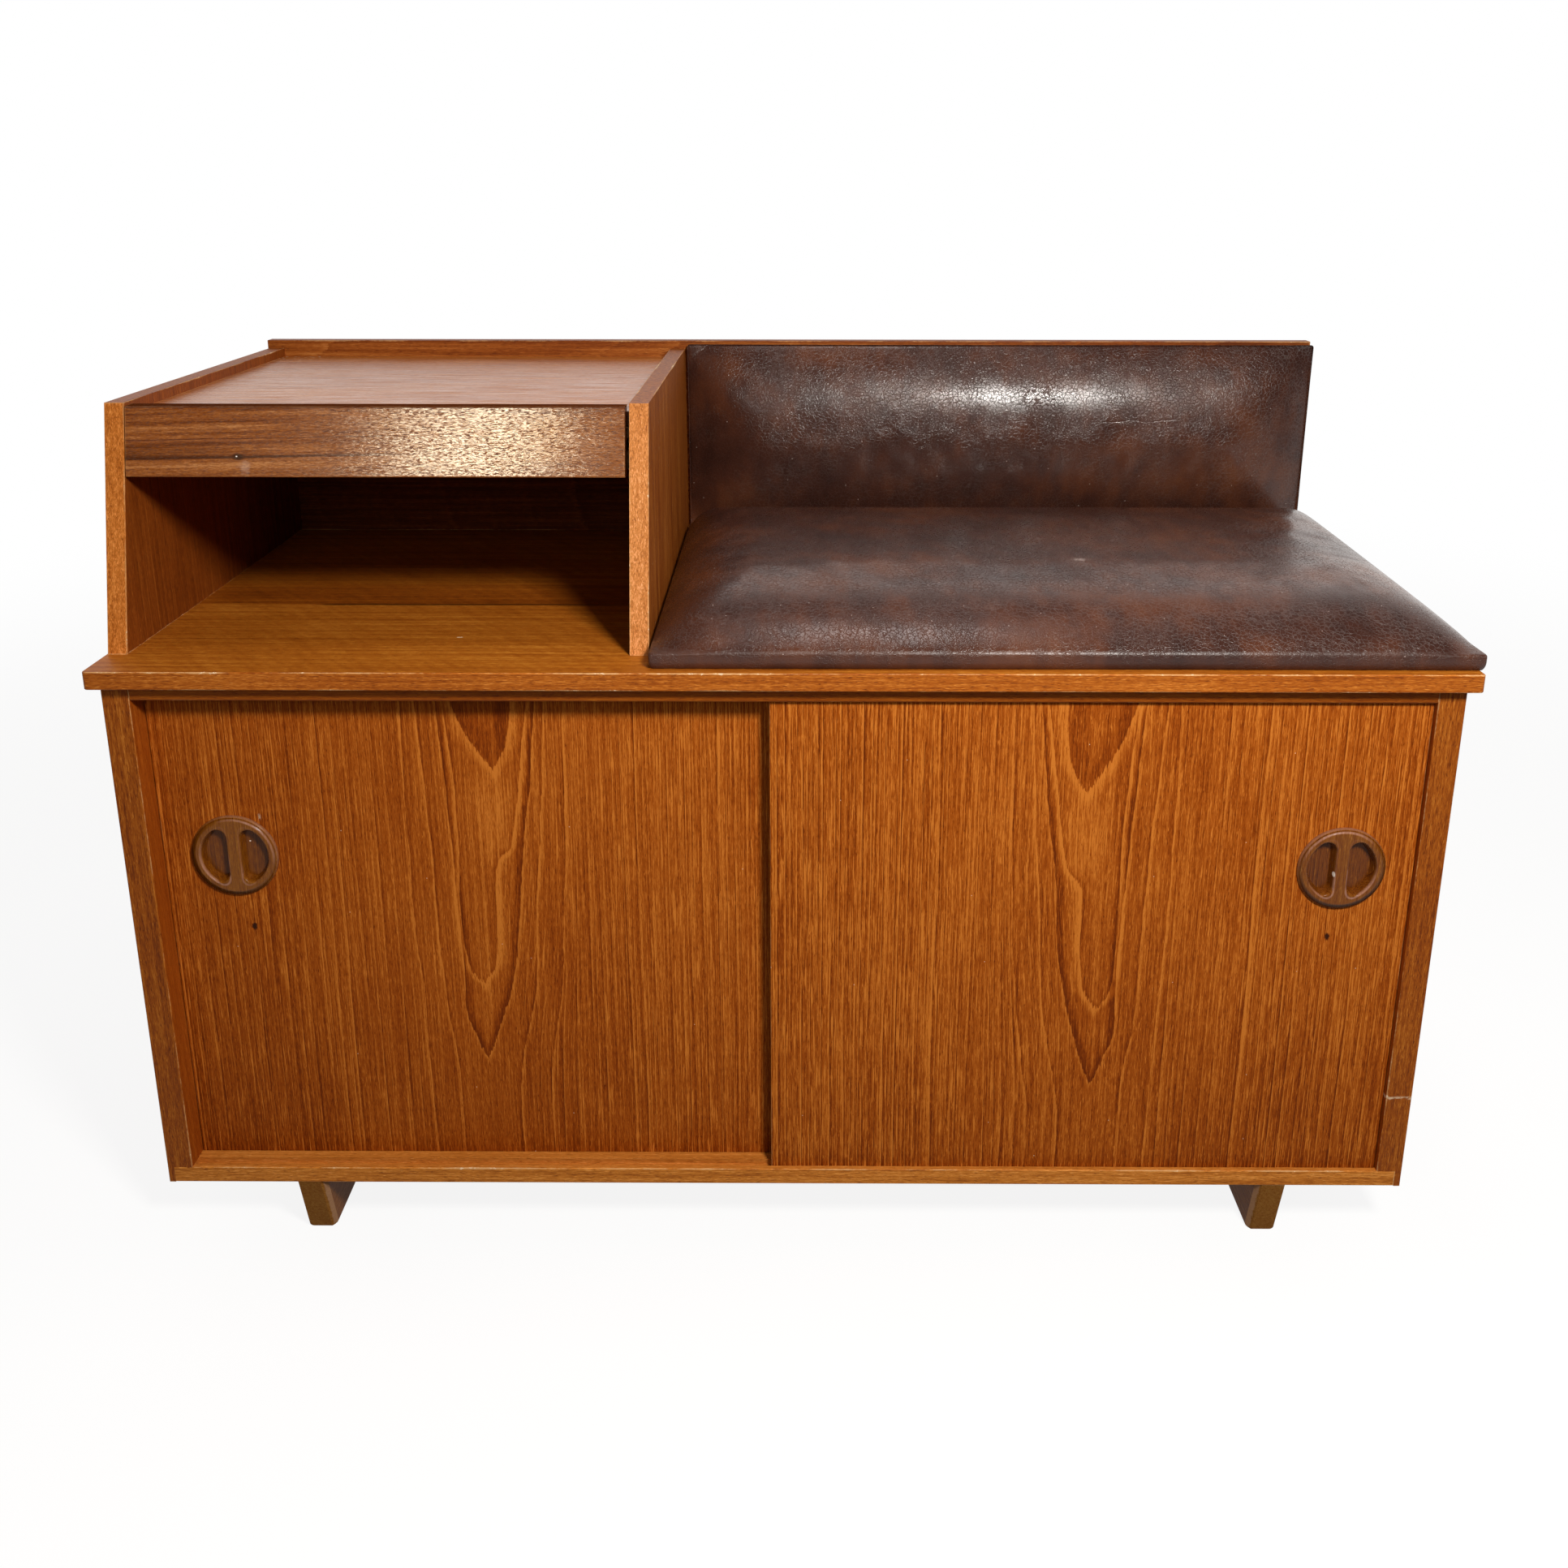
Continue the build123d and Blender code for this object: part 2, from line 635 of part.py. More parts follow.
x_door_end = x_inner - door_end_gap
x_pull_centre = x_door_end - pull_inset
nodes["door_left"] = door(-x_door_end, y_groove_rear, -x_pull_centre)
nodes["pull_left"] = pull(-x_pull_centre, y_groove_rear)
nodes["door_right"] = door(x_door_end - door_width, y_groove_front, x_pull_centre)
nodes["pull_right"] = pull(x_pull_centre, y_groove_front)

os.makedirs("parts", exist_ok=True)
for name, solid in nodes.items():
    export_step(solid, f"parts/{name}.step")
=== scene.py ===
"""Telephone bench: teak, leatherette, padding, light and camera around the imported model."""
import math
from dataclasses import dataclass

import bmesh
import bpy
import numpy as np
from mathutils import Matrix, Vector

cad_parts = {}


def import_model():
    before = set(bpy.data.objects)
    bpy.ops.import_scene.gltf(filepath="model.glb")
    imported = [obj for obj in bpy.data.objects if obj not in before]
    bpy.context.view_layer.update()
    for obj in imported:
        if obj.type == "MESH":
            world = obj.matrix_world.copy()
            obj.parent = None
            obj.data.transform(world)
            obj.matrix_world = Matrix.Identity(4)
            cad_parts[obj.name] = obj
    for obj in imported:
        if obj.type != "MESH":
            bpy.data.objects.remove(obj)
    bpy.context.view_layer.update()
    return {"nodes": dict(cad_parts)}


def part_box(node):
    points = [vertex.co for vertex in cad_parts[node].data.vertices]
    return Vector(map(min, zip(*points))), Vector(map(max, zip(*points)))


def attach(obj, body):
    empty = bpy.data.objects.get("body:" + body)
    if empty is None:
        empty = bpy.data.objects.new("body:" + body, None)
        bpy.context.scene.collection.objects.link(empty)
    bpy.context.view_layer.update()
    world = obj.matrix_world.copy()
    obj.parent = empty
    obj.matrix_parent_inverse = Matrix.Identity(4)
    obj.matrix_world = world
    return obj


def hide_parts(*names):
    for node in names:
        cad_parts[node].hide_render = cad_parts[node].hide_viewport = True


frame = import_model()
nodes = frame["nodes"]

# Metres. X runs along the bench, the front faces -Y and Z is up from the floor.
MM = 0.001

# ---- places read from the frame
z_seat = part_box("seat_board")[1].z
z_drawer_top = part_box("drawer_front")[1].z
z_door_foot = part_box("door_left")[0].z
y_side_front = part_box("side_panel_right")[0].y
y_back_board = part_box("back_board")[0].y
panel_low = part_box("divider_panel")[0]
shelf_low, shelf_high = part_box("phone_shelf")
pad_low, pad_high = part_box("seat_cushion")
back_pad_low, back_pad_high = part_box("backrest_cushion")


def front_lean():
    """How far the upper panels' front line leans back for each metre of height."""
    corners = [vertex.co for vertex in nodes["divider_panel"].data.vertices]
    above = [corner for corner in corners if corner.z > z_seat + 50 * MM]
    return min((corner.y - panel_low.y) / (corner.z - z_seat) for corner in above)


panel_lean = front_lean()


def upright(y, z):
    """Depth of a point with the lean taken out: the same all over the panels' front edges."""
    return y - (z - z_seat) * panel_lean


# ---- shader graphs
def operator(name):
    """Method of a field that adds one node of maths."""

    def method(field, *others):
        return field.graph.math(name, field, *others)

    return method


@dataclass
class Field:
    """A number or colour at each point of a surface: one output in a shader graph."""

    graph: object
    socket: object

    __add__ = __radd__ = operator("ADD")
    __mul__ = __rmul__ = operator("MULTIPLY")
    __sub__ = operator("SUBTRACT")
    __truediv__ = operator("DIVIDE")
    __pow__ = operator("POWER")
    __abs__ = operator("ABSOLUTE")
    over = operator("MAXIMUM")
    under = operator("MINIMUM")

    def __rsub__(self, other):
        return self.graph.math("SUBTRACT", other, self)

    def step(self, start, end, low=0.0, high=1.0):
        """Smooth step of this field from low at start to high at end."""
        inputs = {"Value": self, "From Min": start, "From Max": end, "To Min": low, "To Max": high}
        return self.graph.field("MapRange", inputs, "Result", interpolation_type="SMOOTHSTEP")

    def line(self, middle, half, soft):
        """One on a line where this field is middle, faded over soft inside its half width."""
        return (half - abs(self - middle)).step(0.0, soft)


class Graph:
    """The node graph of one material or world. Most calls add a node and give its output."""

    def __init__(self, owner):
        owner.use_nodes = True
        self.owner = owner
        self.tree = owner.node_tree
        self.tree.nodes.clear()

    def node(self, kind, inputs, **settings):
        """Add a node, and link a field or set a value on each input named or numbered."""
        made = self.tree.nodes.new("ShaderNode" + kind)
        for name, value in settings.items():
            setattr(made, name, value)
        for name, value in inputs.items():
            if isinstance(value, Field):
                self.tree.links.new(value.socket, made.inputs[name])
            else:
                made.inputs[name].default_value = value
        return made

    def field(self, kind, inputs, which=0, **settings):
        """One output of a new node."""
        return Field(self, self.node(kind, inputs, **settings).outputs[which])

    def show(self, shader, kind="OutputMaterial"):
        """Close the graph with one shader."""
        self.node(kind, {"Surface": shader})
        return self.owner

    def math(self, operation, *values):
        return self.field("Math", dict(enumerate(values)), operation=operation)

    def vector(self, x, y, z):
        return self.field("CombineXYZ", {"X": x, "Y": y, "Z": z})

    def split(self, vector):
        """The three parts of a vector."""
        return [Field(self, part) for part in self.node("SeparateXYZ", {"Vector": vector}).outputs]

    def point(self):
        """The three object coordinates, which are the bench's own in metres at rest."""
        return self.split(self.field("TexCoord", {}, "Object"))

    def distance(self, a, b, place, weights=(1.0, 1.0)):
        """Distance on a plane from a place. A weight under 1 makes a spot longer on its axis."""
        across, up = ((p - q) ** 2 * w for p, q, w in zip((a, b), place, weights))
        return self.math("SQRT", across + up)

    def noise(self, point, size, detail=2.0, roughness=0.5, seed=0.0):
        """Noise of about -0.5 to 0.5 whose lumps have the given size, or one size on each axis."""
        sizes = size if isinstance(size, tuple) else (size, size, size)
        place = self.vector(*(p * (1 / s) + seed for p, s in zip(point, sizes)))
        inputs = {"Vector": place, "Scale": 1.0, "Detail": detail, "Roughness": roughness}
        return self.field("TexNoise", inputs, "Fac") - 0.5

    def cells(self, point, size):
        """Distance to the edge of the nearest cell, in cells of about the given size."""
        place = self.vector(*(p * (1 / s) for p, s in zip(point, size)))
        inputs = {"Vector": place, "Scale": 1.0}
        return self.field("TexVoronoi", inputs, "Distance", feature="DISTANCE_TO_EDGE")

    def dots(self, a, b, spacing, radius):
        """One where a speck of the given radius lies on a plane, with one speck in each cell."""
        place = self.vector(a * (1 / spacing), b * (1 / spacing), 0.5)
        inputs = {"Vector": place, "Scale": 1.0}
        distance = self.field("TexVoronoi", inputs, "Distance", voronoi_dimensions="2D")
        return distance.step(radius / spacing, radius * 0.5 / spacing)

    def curve(self, place, points):
        """Field that follows a smooth line through (place, value) points, level beyond its ends."""
        places, values = zip(*points)
        start, span = places[0], places[-1] - places[0]
        base, rise = min(values), max(values) - min(values)
        made = self.node("FloatCurve", {"Value": (place - start) * (1 / span)})
        line = made.mapping.curves[0]
        while len(line.points) < len(points):
            line.points.new(0.5, 0.5)
        for knot, (p, v) in zip(line.points, points):
            knot.location = ((p - start) / span, (v - base) / rise)
        made.mapping.update()
        return Field(self, made.outputs[0]) * rise + base

    def ramp(self, factor, stops):
        """Colour or grey that follows a list of (place, value) stops."""
        made = self.node("ValToRGB", {"Fac": factor})
        elements = made.color_ramp.elements
        while len(elements) < len(stops):
            elements.new(1.0)
        for element, (place, value) in zip(elements, stops):
            element.position = place
            element.color = (*value, 1.0) if isinstance(value, tuple) else (value, value, value, 1.0)
        return Field(self, made.outputs["Color"])

    def mix(self, factor, a, b):
        """Colour a where the factor is 0 and colour b where it is 1."""
        a, b = ((*value, 1.0) if isinstance(value, tuple) else value for value in (a, b))
        return self.field("Mix", {0: factor, 6: a, 7: b}, 2, data_type="RGBA")

    def tilted(self, x, y, z):
        """The surface's own normal leaned by a vector."""
        normal = self.field("NewGeometry", {}, "Normal")
        total = self.field("VectorMath", {0: normal, 1: self.vector(x, y, z)}, operation="ADD")
        return self.field("VectorMath", {0: total}, operation="NORMALIZE")

    def bump(self, height, distance, strength=1.0, normal=None):
        """Normal of a relief on the surface, which may have a shading normal already."""
        inputs = {"Height": height, "Distance": distance, "Strength": strength}
        if normal:
            inputs["Normal"] = normal
        return self.field("Bump", inputs, "Normal")

    def rays(self, *kinds):
        """One on rays of any of the given kinds."""
        outputs = self.node("LightPath", {}).outputs
        first, *others = (Field(self, outputs["Is " + kind + " Ray"]) for kind in kinds)
        for other in others:
            first = first.over(other)
        return first


def new_material(name):
    return Graph(bpy.data.materials.new(name))


# ---- teak
# Linear colours of oiled teak, from the dark line of a growth ring to the pale one
TEAK = ((0.135, 0.022, 0.0018), (0.262, 0.049, 0.0032), (0.385, 0.088, 0.0070), (0.60, 0.185, 0.024))
GOLD = ((0.19, 0.050, 0.006), (0.34, 0.105, 0.013), (0.47, 0.165, 0.026), (0.66, 0.29, 0.075))
FACE_STOPS = (0.08, 0.36, 0.62, 0.95)
LIPPING_STOPS = (0.10, 0.36, 0.62, 0.95)
WORN = (0.70, 0.40, 0.17)
CHIPPED = (0.80, 0.62, 0.42)
# Tone of one growth ring, from its sharp pale start to its dark end
RING_PROFILE = [(0.0, 1.0), (0.12, 0.66), (0.30, 0.50), (0.76, 0.44), (0.94, 0.22), (1.0, 0.08)]
# For each direction of the grain, the axes that run across it, into the board and along it
GRAIN_AXES = {"x": (2, 1, 0), "y": (0, 2, 1), "z": (0, 1, 2)}


def shade(colours, *factors):
    """A palette made lighter or darker by one factor for each channel."""
    return tuple(tuple(min(c * f, 1.0) for c, f in zip(colour, factors)) for colour in colours)


def grain_lines(graph, outward, along, pitch, seed=0.0, sway=2.5 * MM):
    """Unevenly spaced growth lines, -0.5 to 0.5: each starts pale and sharp and ends dark."""

    def wander(size, length, offset):
        return graph.noise((outward, along, along), (size, length, length), 1.0, seed=seed + offset)

    spread = wander(4 * pitch, 2.4, 0) * (2.8 * pitch)
    wave = wander(90 * MM, 0.24, 2) * (2 * sway)
    jitter = wander(1.6 * MM, 50 * MM, 4) * (0.8 * MM)
    phase = graph.math("FRACT", (outward + spread + wave + jitter) * (1 / pitch) + 40.0)
    weight = wander(1.4 * pitch, 0.45, 6).step(-0.16, 0.20, 0.25, 1.0)
    return (graph.ramp(phase, RING_PROFILE) - 0.46) * weight


def quarter(pitch, strength=0.30, angle=0.0, seed=0.0):
    """Figure of quarter-sawn wood: straight lines along the grain."""

    def figure(graph, across, depth, along):
        outward = across + depth * 0.7 + along * angle
        return grain_lines(graph, outward, along, pitch, seed) * strength

    return figure


def crown_cut(pith, pitch, strength=0.34, climb=0.12, seed=0.0):
    """Figure of flat-sawn wood: growth rings about a pith that slowly nears the surface."""

    def figure(graph, across, depth, along):
        drift = graph.noise((along, along, along), 0.5, 1.0, seed=seed) * 0.05
        jag = graph.noise((across, depth, along), (1.1 * MM, 1.1 * MM, 30 * MM), 1.0, seed=seed + 9)
        sideways = across - pith[0] + drift
        below = depth - pith[1] + drift * 0.5 + (along + jag * (16 * MM)) * climb
        radius = graph.distance(sideways, below, (0.0, 0.0))
        return grain_lines(graph, radius, along, pitch, seed) * strength

    return figure


def arris_distance(point, low, high):
    """Distance to the nearest arris of a board that fills a box: the middle one of three."""
    near = []
    for place, a, b in zip(point, low, high):
        near.append((b - a) / 2 - abs(place - (a + b) / 2))
    x, y, z = near
    return x.under(y).over(x.over(y).under(z))


@dataclass
class Wood:
    """Oiled wood whose fibres run along one axis of the bench."""

    grain: str
    figure: object  # tone of the growth rings, as a function of the place across, into and along
    colours: tuple = TEAK
    front: tuple = None  # palette of a solid lipping on the front face
    lean: bool = False  # whether the front leans back as the upper panels' does
    marks: object = None  # function that shifts the tone and gives what is painted over it
    fibre: float = 1.0
    wear: float = 0.6  # how far the arrises are rubbed pale
    chips: float = 0.0  # how many crumbs are broken out of the arrises
    gloss: float = 0.12
    roughness: float = 0.48
    sheen: tuple = (1.0, 1.0, 1.0)
    pitted: object = None  # function that gives dull pores, 0 to 1
    normal: object = None  # function that gives the shading normal under the fibres' relief
    seed: float = 0.0

    def fibres(self, graph, place):
        """Fine strands, long threads, pale flecks and dark pores."""
        seed = self.seed
        strands = graph.noise(place, (0.62 * MM, 0.62 * MM, 7 * MM), 2.0, 0.65, seed)
        threads = graph.noise(place, (2.0 * MM, 2.0 * MM, 110 * MM), 3.0, 0.6, seed + 11)
        flecks = graph.noise(place, (0.5 * MM, 0.5 * MM, 6 * MM), 1.0, seed=seed + 23)
        pores = graph.noise(place, (0.42 * MM, 0.42 * MM, 4.5 * MM), 1.0, seed=seed + 31)
        return strands, threads, flecks.step(0.13, 0.24), pores.step(0.13, 0.23)

    def worn(self, graph, point, gap, colour):
        """The colour with rubbed and chipped arrises, and how far each point is rubbed."""
        ragged = graph.noise(point, 3.5 * MM, 3.0, 0.65, self.seed + 5)
        patches = graph.noise(point, 45 * MM, 2.0, seed=self.seed + 41)
        width = (ragged * 1.4 + patches * 3.0 + 0.25) * MM
        rub = (gap - width).step(0.35 * MM, -0.1 * MM) * (0.75 * self.wear)
        colour = graph.mix(rub, colour, WORN)
        if self.chips:
            depth = ragged + patches * 0.8 - 0.30 + self.chips * 0.1 - gap * (1 / (9 * MM))
            colour = graph.mix(depth.step(0.0, 0.05) * 0.85, colour, CHIPPED)
        return colour, rub

    def material(self, name, low, high):
        """Material of a board that fills a box."""
        graph = new_material(name)
        point = graph.point()
        x, y, z = point
        level = [x, upright(y, z), z] if self.lean else point
        place = [point[axis] for axis in GRAIN_AXES[self.grain]]
        strands, threads, flecks, pores = self.fibres(graph, place)
        cloud = graph.noise(place, (50 * MM, 50 * MM, 160 * MM), 2.0, seed=self.seed + 19)
        fine = (strands * 0.80 + threads * 0.62) * self.fibre + flecks * 0.30 - pores * 0.32
        tone = self.figure(graph, *place) + fine + cloud * 0.22 + 0.49
        patch = None
        if self.marks:
            tone, patch = self.marks(graph, point, tone)
        colour = graph.ramp(tone, list(zip(FACE_STOPS, self.colours)))
        if self.front:
            lipping = fine * 1.6 + cloud * 0.3 + 0.5
            lipping = graph.ramp(lipping, list(zip(LIPPING_STOPS, self.front)))
            colour = graph.mix((level[1] - low.y).step(1.3 * MM, 0.6 * MM), colour, lipping)
        colour, rub = self.worn(graph, point, arris_distance(level, low, high), colour)
        if patch:
            amount, paint = patch
            colour = graph.mix(amount, colour, paint)
        polish = self.roughness + strands * 0.14 + cloud * 0.10 + pores * 0.1 + rub * 0.2
        if self.pitted:
            polish = polish + self.pitted(graph, point) * 0.40
        height = strands * 0.5 + threads * 0.3 - pores * 0.9 + flecks * 0.2
        normal = self.normal(graph, point) if self.normal else None
        return graph.show(graph.field("BsdfPrincipled", {
            "Base Color": colour,
            "Roughness": polish,
            "Specular IOR Level": self.gloss,
            "Specular Tint": (*self.sheen, 1.0),
            "Normal": graph.bump(height, 0.10 * MM, 0.7, normal),
        }))


# ---- floor, world, light and camera
REAR_LIGHT = 1.2
FRONT_LIGHT = 0.035
LEFT_LIGHT = 0.38
RIGHT_LIGHT = 0.12


def stage():
    """Pale floor that shows white to the camera and keeps the bench's soft shadow."""
    bpy.ops.mesh.primitive_plane_add(size=5.4, location=(0, 0, 0))
    floor = bpy.context.object
    floor.name = "floor"
    graph = new_material("floor_paint")
    x, y, _ = graph.point()
    near = graph.distance(x, y, (0.0, 0.0)).step(2.6, 0.9)
    grey = near * 0.14
    white = graph.field("Emission", {"Color": (1, 1, 1, 1), "Strength": 1.0 - near * 0.12})
    shadow = graph.field("BsdfDiffuse", {"Color": graph.vector(grey, grey, grey)})
    shown = graph.field("AddShader", {0: white, 1: shadow})
    plain = graph.field("BsdfDiffuse", {"Color": (0.16, 0.155, 0.15, 1)})
    seen = graph.rays("Camera", "Glossy", "Transmission")
    floor.data.materials.append(graph.show(graph.field("MixShader", {0: seen, 1: plain, 2: shown})))


def world():
    """Soft studio: bright low behind the bench, dimmer at its ends, plain white to the camera."""
    made = bpy.data.worlds.new("studio")
    bpy.context.scene.world = made
    graph = Graph(made)
    x, y, z = graph.split(graph.field("TexCoord", {}, "Generated"))
    rear = y.step(-0.1, 0.7) * (z.step(0.80, 0.60, 0.12, 1.0) * REAR_LIGHT)
    ends = x.step(-0.5, -0.95, 0.0, LEFT_LIGHT) + x.step(0.6, 0.95, 0.0, RIGHT_LIGHT)
    strength = rear + FRONT_LIGHT + ends
    soft = graph.field("Background", {"Color": (1.0, 0.96, 0.93, 1.0), "Strength": strength})
    plain = graph.field("Background", {"Color": (1, 1, 1, 1)})
    seen = graph.rays("Camera", "Transmission")
    graph.show(graph.field("MixShader", {0: seen, 1: soft, 2: plain}), "OutputWorld")


def lamp(name, place, aim, size, watts, colour):
    """Square area lamp at a place, pointed at a target."""
    data = bpy.data.lights.new(name, "AREA")
    data.size = size
    data.energy = watts
    data.color = colour
    made = bpy.data.objects.new(name, data)
    made.location = place
    made.rotation_euler = (Vector(aim) - Vector(place)).to_track_quat("-Z", "Y").to_euler()
    bpy.context.scene.collection.objects.link(made)


def lamps():
    middle = (0.0, -0.1, 0.4)
    lamp("key", (0.42, -1.02, 1.25), middle, 0.22, 19.0, (1.0, 0.96, 0.90))
    lamp("fill", (-0.43, -1.35, 0.98), middle, 0.28, 1.6, (1.0, 0.95, 0.88))
    lamp("top", (0.15, -0.05, 2.0), (0.15, -0.05, 0.4), 0.35, 4.0, (1.0, 0.95, 0.92))


def camera():
    """The photograph's own viewpoint, fitted to the bench's corners."""
    place = Vector((0.013233, -1.099194, 0.792859))
    pitch, yaw, roll = (math.radians(angle) for angle in (15.703, -0.2165, -0.0528))
    forward = Vector((math.sin(yaw) * math.cos(pitch), math.cos(yaw) * math.cos(pitch), -math.sin(pitch)))
    right = Vector((math.cos(yaw), -math.sin(yaw), 0.0))
    down = forward.cross(right)
    across = math.cos(roll) * right + math.sin(roll) * down
    below = math.cos(roll) * down - math.sin(roll) * right
    turn = Matrix((across, -below, -forward)).transposed()
    data = bpy.data.cameras.new("camera")
    data.sensor_width = 36.0
    data.lens = 32.316
    data.shift_x = -0.0084
    data.shift_y = -0.1377
    data.clip_start = 0.05
    made = bpy.data.objects.new("camera", data)
    made.matrix_world = Matrix.Translation(place) @ turn.to_4x4()
    bpy.context.scene.collection.objects.link(made)
    bpy.context.scene.camera = made


# ---- dressing the CAD nodes
def dress(node, material):
    """Give one CAD node one material all over."""
    slots = nodes[node].data.materials
    slots.clear()
    slots.append(material)


def board(node, grain, figure, **look):
    """Give one CAD board its own wood."""
    wood = Wood(grain, figure, **look)
    low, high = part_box(node)
    if wood.lean:
        depths = [upright(vertex.co.y, vertex.co.z) for vertex in nodes[node].data.vertices]
        low.y, high.y = min(depths), max(depths)
    dress(node, wood.material(node + "_wood", low, high))


# ---- doors
@dataclass
class Ring:
    """One growth ring of the doors' flame, in millimetres on the left door.

    left and right list (height, place) points of its two sides, from low to high. Wood just
    outside is pale and wood just inside is dark, over the given widths.
    """

    left: list
    right: list
    pale: float
    dark: float
    pale_width: float
    dark_width: float

    def tone(self, graph, x, z):
        """Tone that this ring adds, from the distance inside its outline."""
        left = graph.curve(z, [(h * MM, p * MM) for h, p in self.left])
        right = graph.curve(z, [(h * MM, p * MM) for h, p in self.right])
        inside = (x - left).under(right - x)
        outer = (inside * -1.0).step(-0.25 * MM, 0.25 * MM)
        inner = inside.step(-0.25 * MM, 0.25 * MM)
        pale = inside.step(-self.pale_width * MM, 0.0) ** 1.6 * outer
        dark = inside.step(self.dark_width * MM, 0.0) ** 1.4 * inner
        return pale * self.pale - dark * self.dark


FLAME = [
    Ring([(344, -180), (384, -207), (396, -215), (414, -226), (447, -238)],
         [(344, -236), (384, -207), (395, -200), (409, -195), (447, -192)],
         0.20, 0.14, 12.0, 34.0),
    Ring([(170, -190), (212, -223), (223, -232), (245, -235), (365, -235), (447, -241)],
         [(170, -238), (212, -223), (230, -213), (258, -210), (308, -208), (323, -198),
          (350, -192), (380, -188), (447, -179)],
         0.27, 0.08, 8.0, 6.0),
    Ring([(105, -190), (148, -223), (171, -232), (194, -238), (226, -237), (305, -239), (447, -245)],
         [(105, -256), (148, -223), (174, -213), (226, -199), (258, -194), (326, -188),
          (365, -182), (447, -174)],
         0.15, 0.24, 4.0, 9.0),
    Ring([(60, -246), (128, -245), (161, -247), (200, -252), (305, -254), (447, -260)],
         [(60, -200), (114, -200), (151, -196), (184, -189), (214, -184), (283, -180),
          (350, -174), (447, -168)],
         0.20, 0.10, 4.0, 4.0),
    Ring([(60, -266), (194, -268), (320, -271), (447, -269)],
         [(60, -176), (111, -177), (161, -172), (214, -165), (320, -158), (447, -155)],
         0.18, 0.10, 4.0, 4.0),
]
FLAME_AXIS = -218 * MM
FLAME_GLOW = (-210 * MM, 352 * MM)
VENEER_JOINT = -343.4 * MM


def door_figure(mirror):
    """Cathedral figure of a door's veneer. The right door's is the left one's, opened like a book."""
    shift_x, shift_z = (5.6 * MM, 10.3 * MM) if mirror else (0.0, 0.0)
    seed = 20.0 if mirror else 0.0
    crisp = 1.25 if mirror else 1.0

    def flame(graph, x, z):
        """The rings of the flame, swaying and jagged."""
        jag = graph.noise((x, z, z), (1.3 * MM, 30 * MM, 30 * MM), 3.0, 0.6, seed + 5) * (15 * MM)
        sway = graph.noise((x, z, z), (0.2, 0.06, 0.06), 1.0, seed=seed + 8) * (3 * MM)
        nudge = graph.noise((x, z, z), (1.3 * MM, 14 * MM, 14 * MM), 1.0, seed=seed + 6) * (1.2 * MM)
        return sum(ring.tone(graph, x + sway + nudge, z + jag) for ring in FLAME)

    def figure(graph, across, depth, along):
        z = along + shift_z
        x = (shift_x - across) if mirror else across
        right = x - FLAME_AXIS
        lean = (z.step(0.11, 0.36) - 0.5) * (20 * MM)
        lean = lean * right.step(90 * MM, 30 * MM) * right.step(0.0, 30 * MM)
        outward = abs(right - lean)
        broad = grain_lines(graph, outward, z, 9.5 * MM, seed + 1)
        narrow = grain_lines(graph, outward, z, 3.0 * MM, seed + 12, 1.0 * MM)
        hair = graph.noise((outward, z, z), (0.95 * MM, 42 * MM, 42 * MM), 1.0, seed=seed + 15)
        beyond = outward.step(38 * MM, 62 * MM, 0.25, 1.0)
        far = outward.step(40 * MM, 150 * MM, 0.45, 1.0) * right.step(-10 * MM, 30 * MM, 0.70, 1.0)
        lines = broad * beyond * 0.50 + (narrow * 1.05 + hair.step(0.05, 0.22) * 0.38) * far
        glow = graph.distance(x, z, FLAME_GLOW, (5.0, 1.0)).step(52 * MM, 10 * MM)
        return flame(graph, x, z) * 1.3 + lines * crisp + glow * 0.12

    return figure


def door_marks(mirror):
    """Knot, veneer joint, darker foot and, on the left door, a scratch beside its pull."""
    sign = -1.0 if mirror else 1.0
    knot = (392.8 * MM, 261.7 * MM) if mirror else (-388.9 * MM, 258.9 * MM)
    beyond_joint = 0.03 if mirror else 0.07
    low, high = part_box("pull_left")
    scratch_place = ((low.x + high.x) / 2 + 20.4 * MM, (low.z + high.z) / 2 + 30 * MM)

    def marks(graph, point, tone):
        x, _, z = point
        rough = graph.noise(point, (1.5 * MM, 2 * MM, 2.5 * MM), 2.0) * (2.6 * MM)
        reach = graph.distance(x, z, knot, (1.0, 0.55)) + rough
        spot = reach.step(2.6 * MM, 1.2 * MM)
        halo = reach.step(9 * MM, 3 * MM) * 0.06
        strip = (x * sign - VENEER_JOINT).step(0.4 * MM, -0.4 * MM) * beyond_joint
        joint = (x * sign).line(VENEER_JOINT, 1.2 * MM, 0.6 * MM) * 0.08
        foot = (z - z_door_foot).step(22 * MM, 2 * MM) * 0.13
        crisp = (tone - 0.5) * 1.45 + 0.5
        # Darker towards the bottom of the door, a little lighter higher up.
        faded = z.step(80 * MM, 280 * MM, -0.03, 0.06)
        shifted = crisp + faded - spot * 0.5 - halo - strip - joint - foot
        amount = (graph.dots(x, z, 95 * MM, 0.45 * MM) * 0.8).over(spot * 0.9)
        if not mirror:
            threads = graph.noise(point, (0.7 * MM, 0.7 * MM, 4 * MM), 2.0, seed=41.0).step(0.0, 0.10)
            scratch = graph.distance(x, z, scratch_place, (4.0, 1.0)) + rough * 0.6
            amount = amount.over(scratch.step(3.6 * MM, 1.6 * MM) * threads * 0.42)
        return shifted, (amount, graph.mix(spot.step(0.0, 0.05), CHIPPED, (0.020, 0.007, 0.003)))

    return marks


def dress_doors():
    for node, mirror in (("door_left", False), ("door_right", True)):
        board(node, "z", door_figure(mirror), marks=door_marks(mirror), wear=0.3, gloss=0.06,
              roughness=0.5, seed=4.0 if mirror else 0.0)


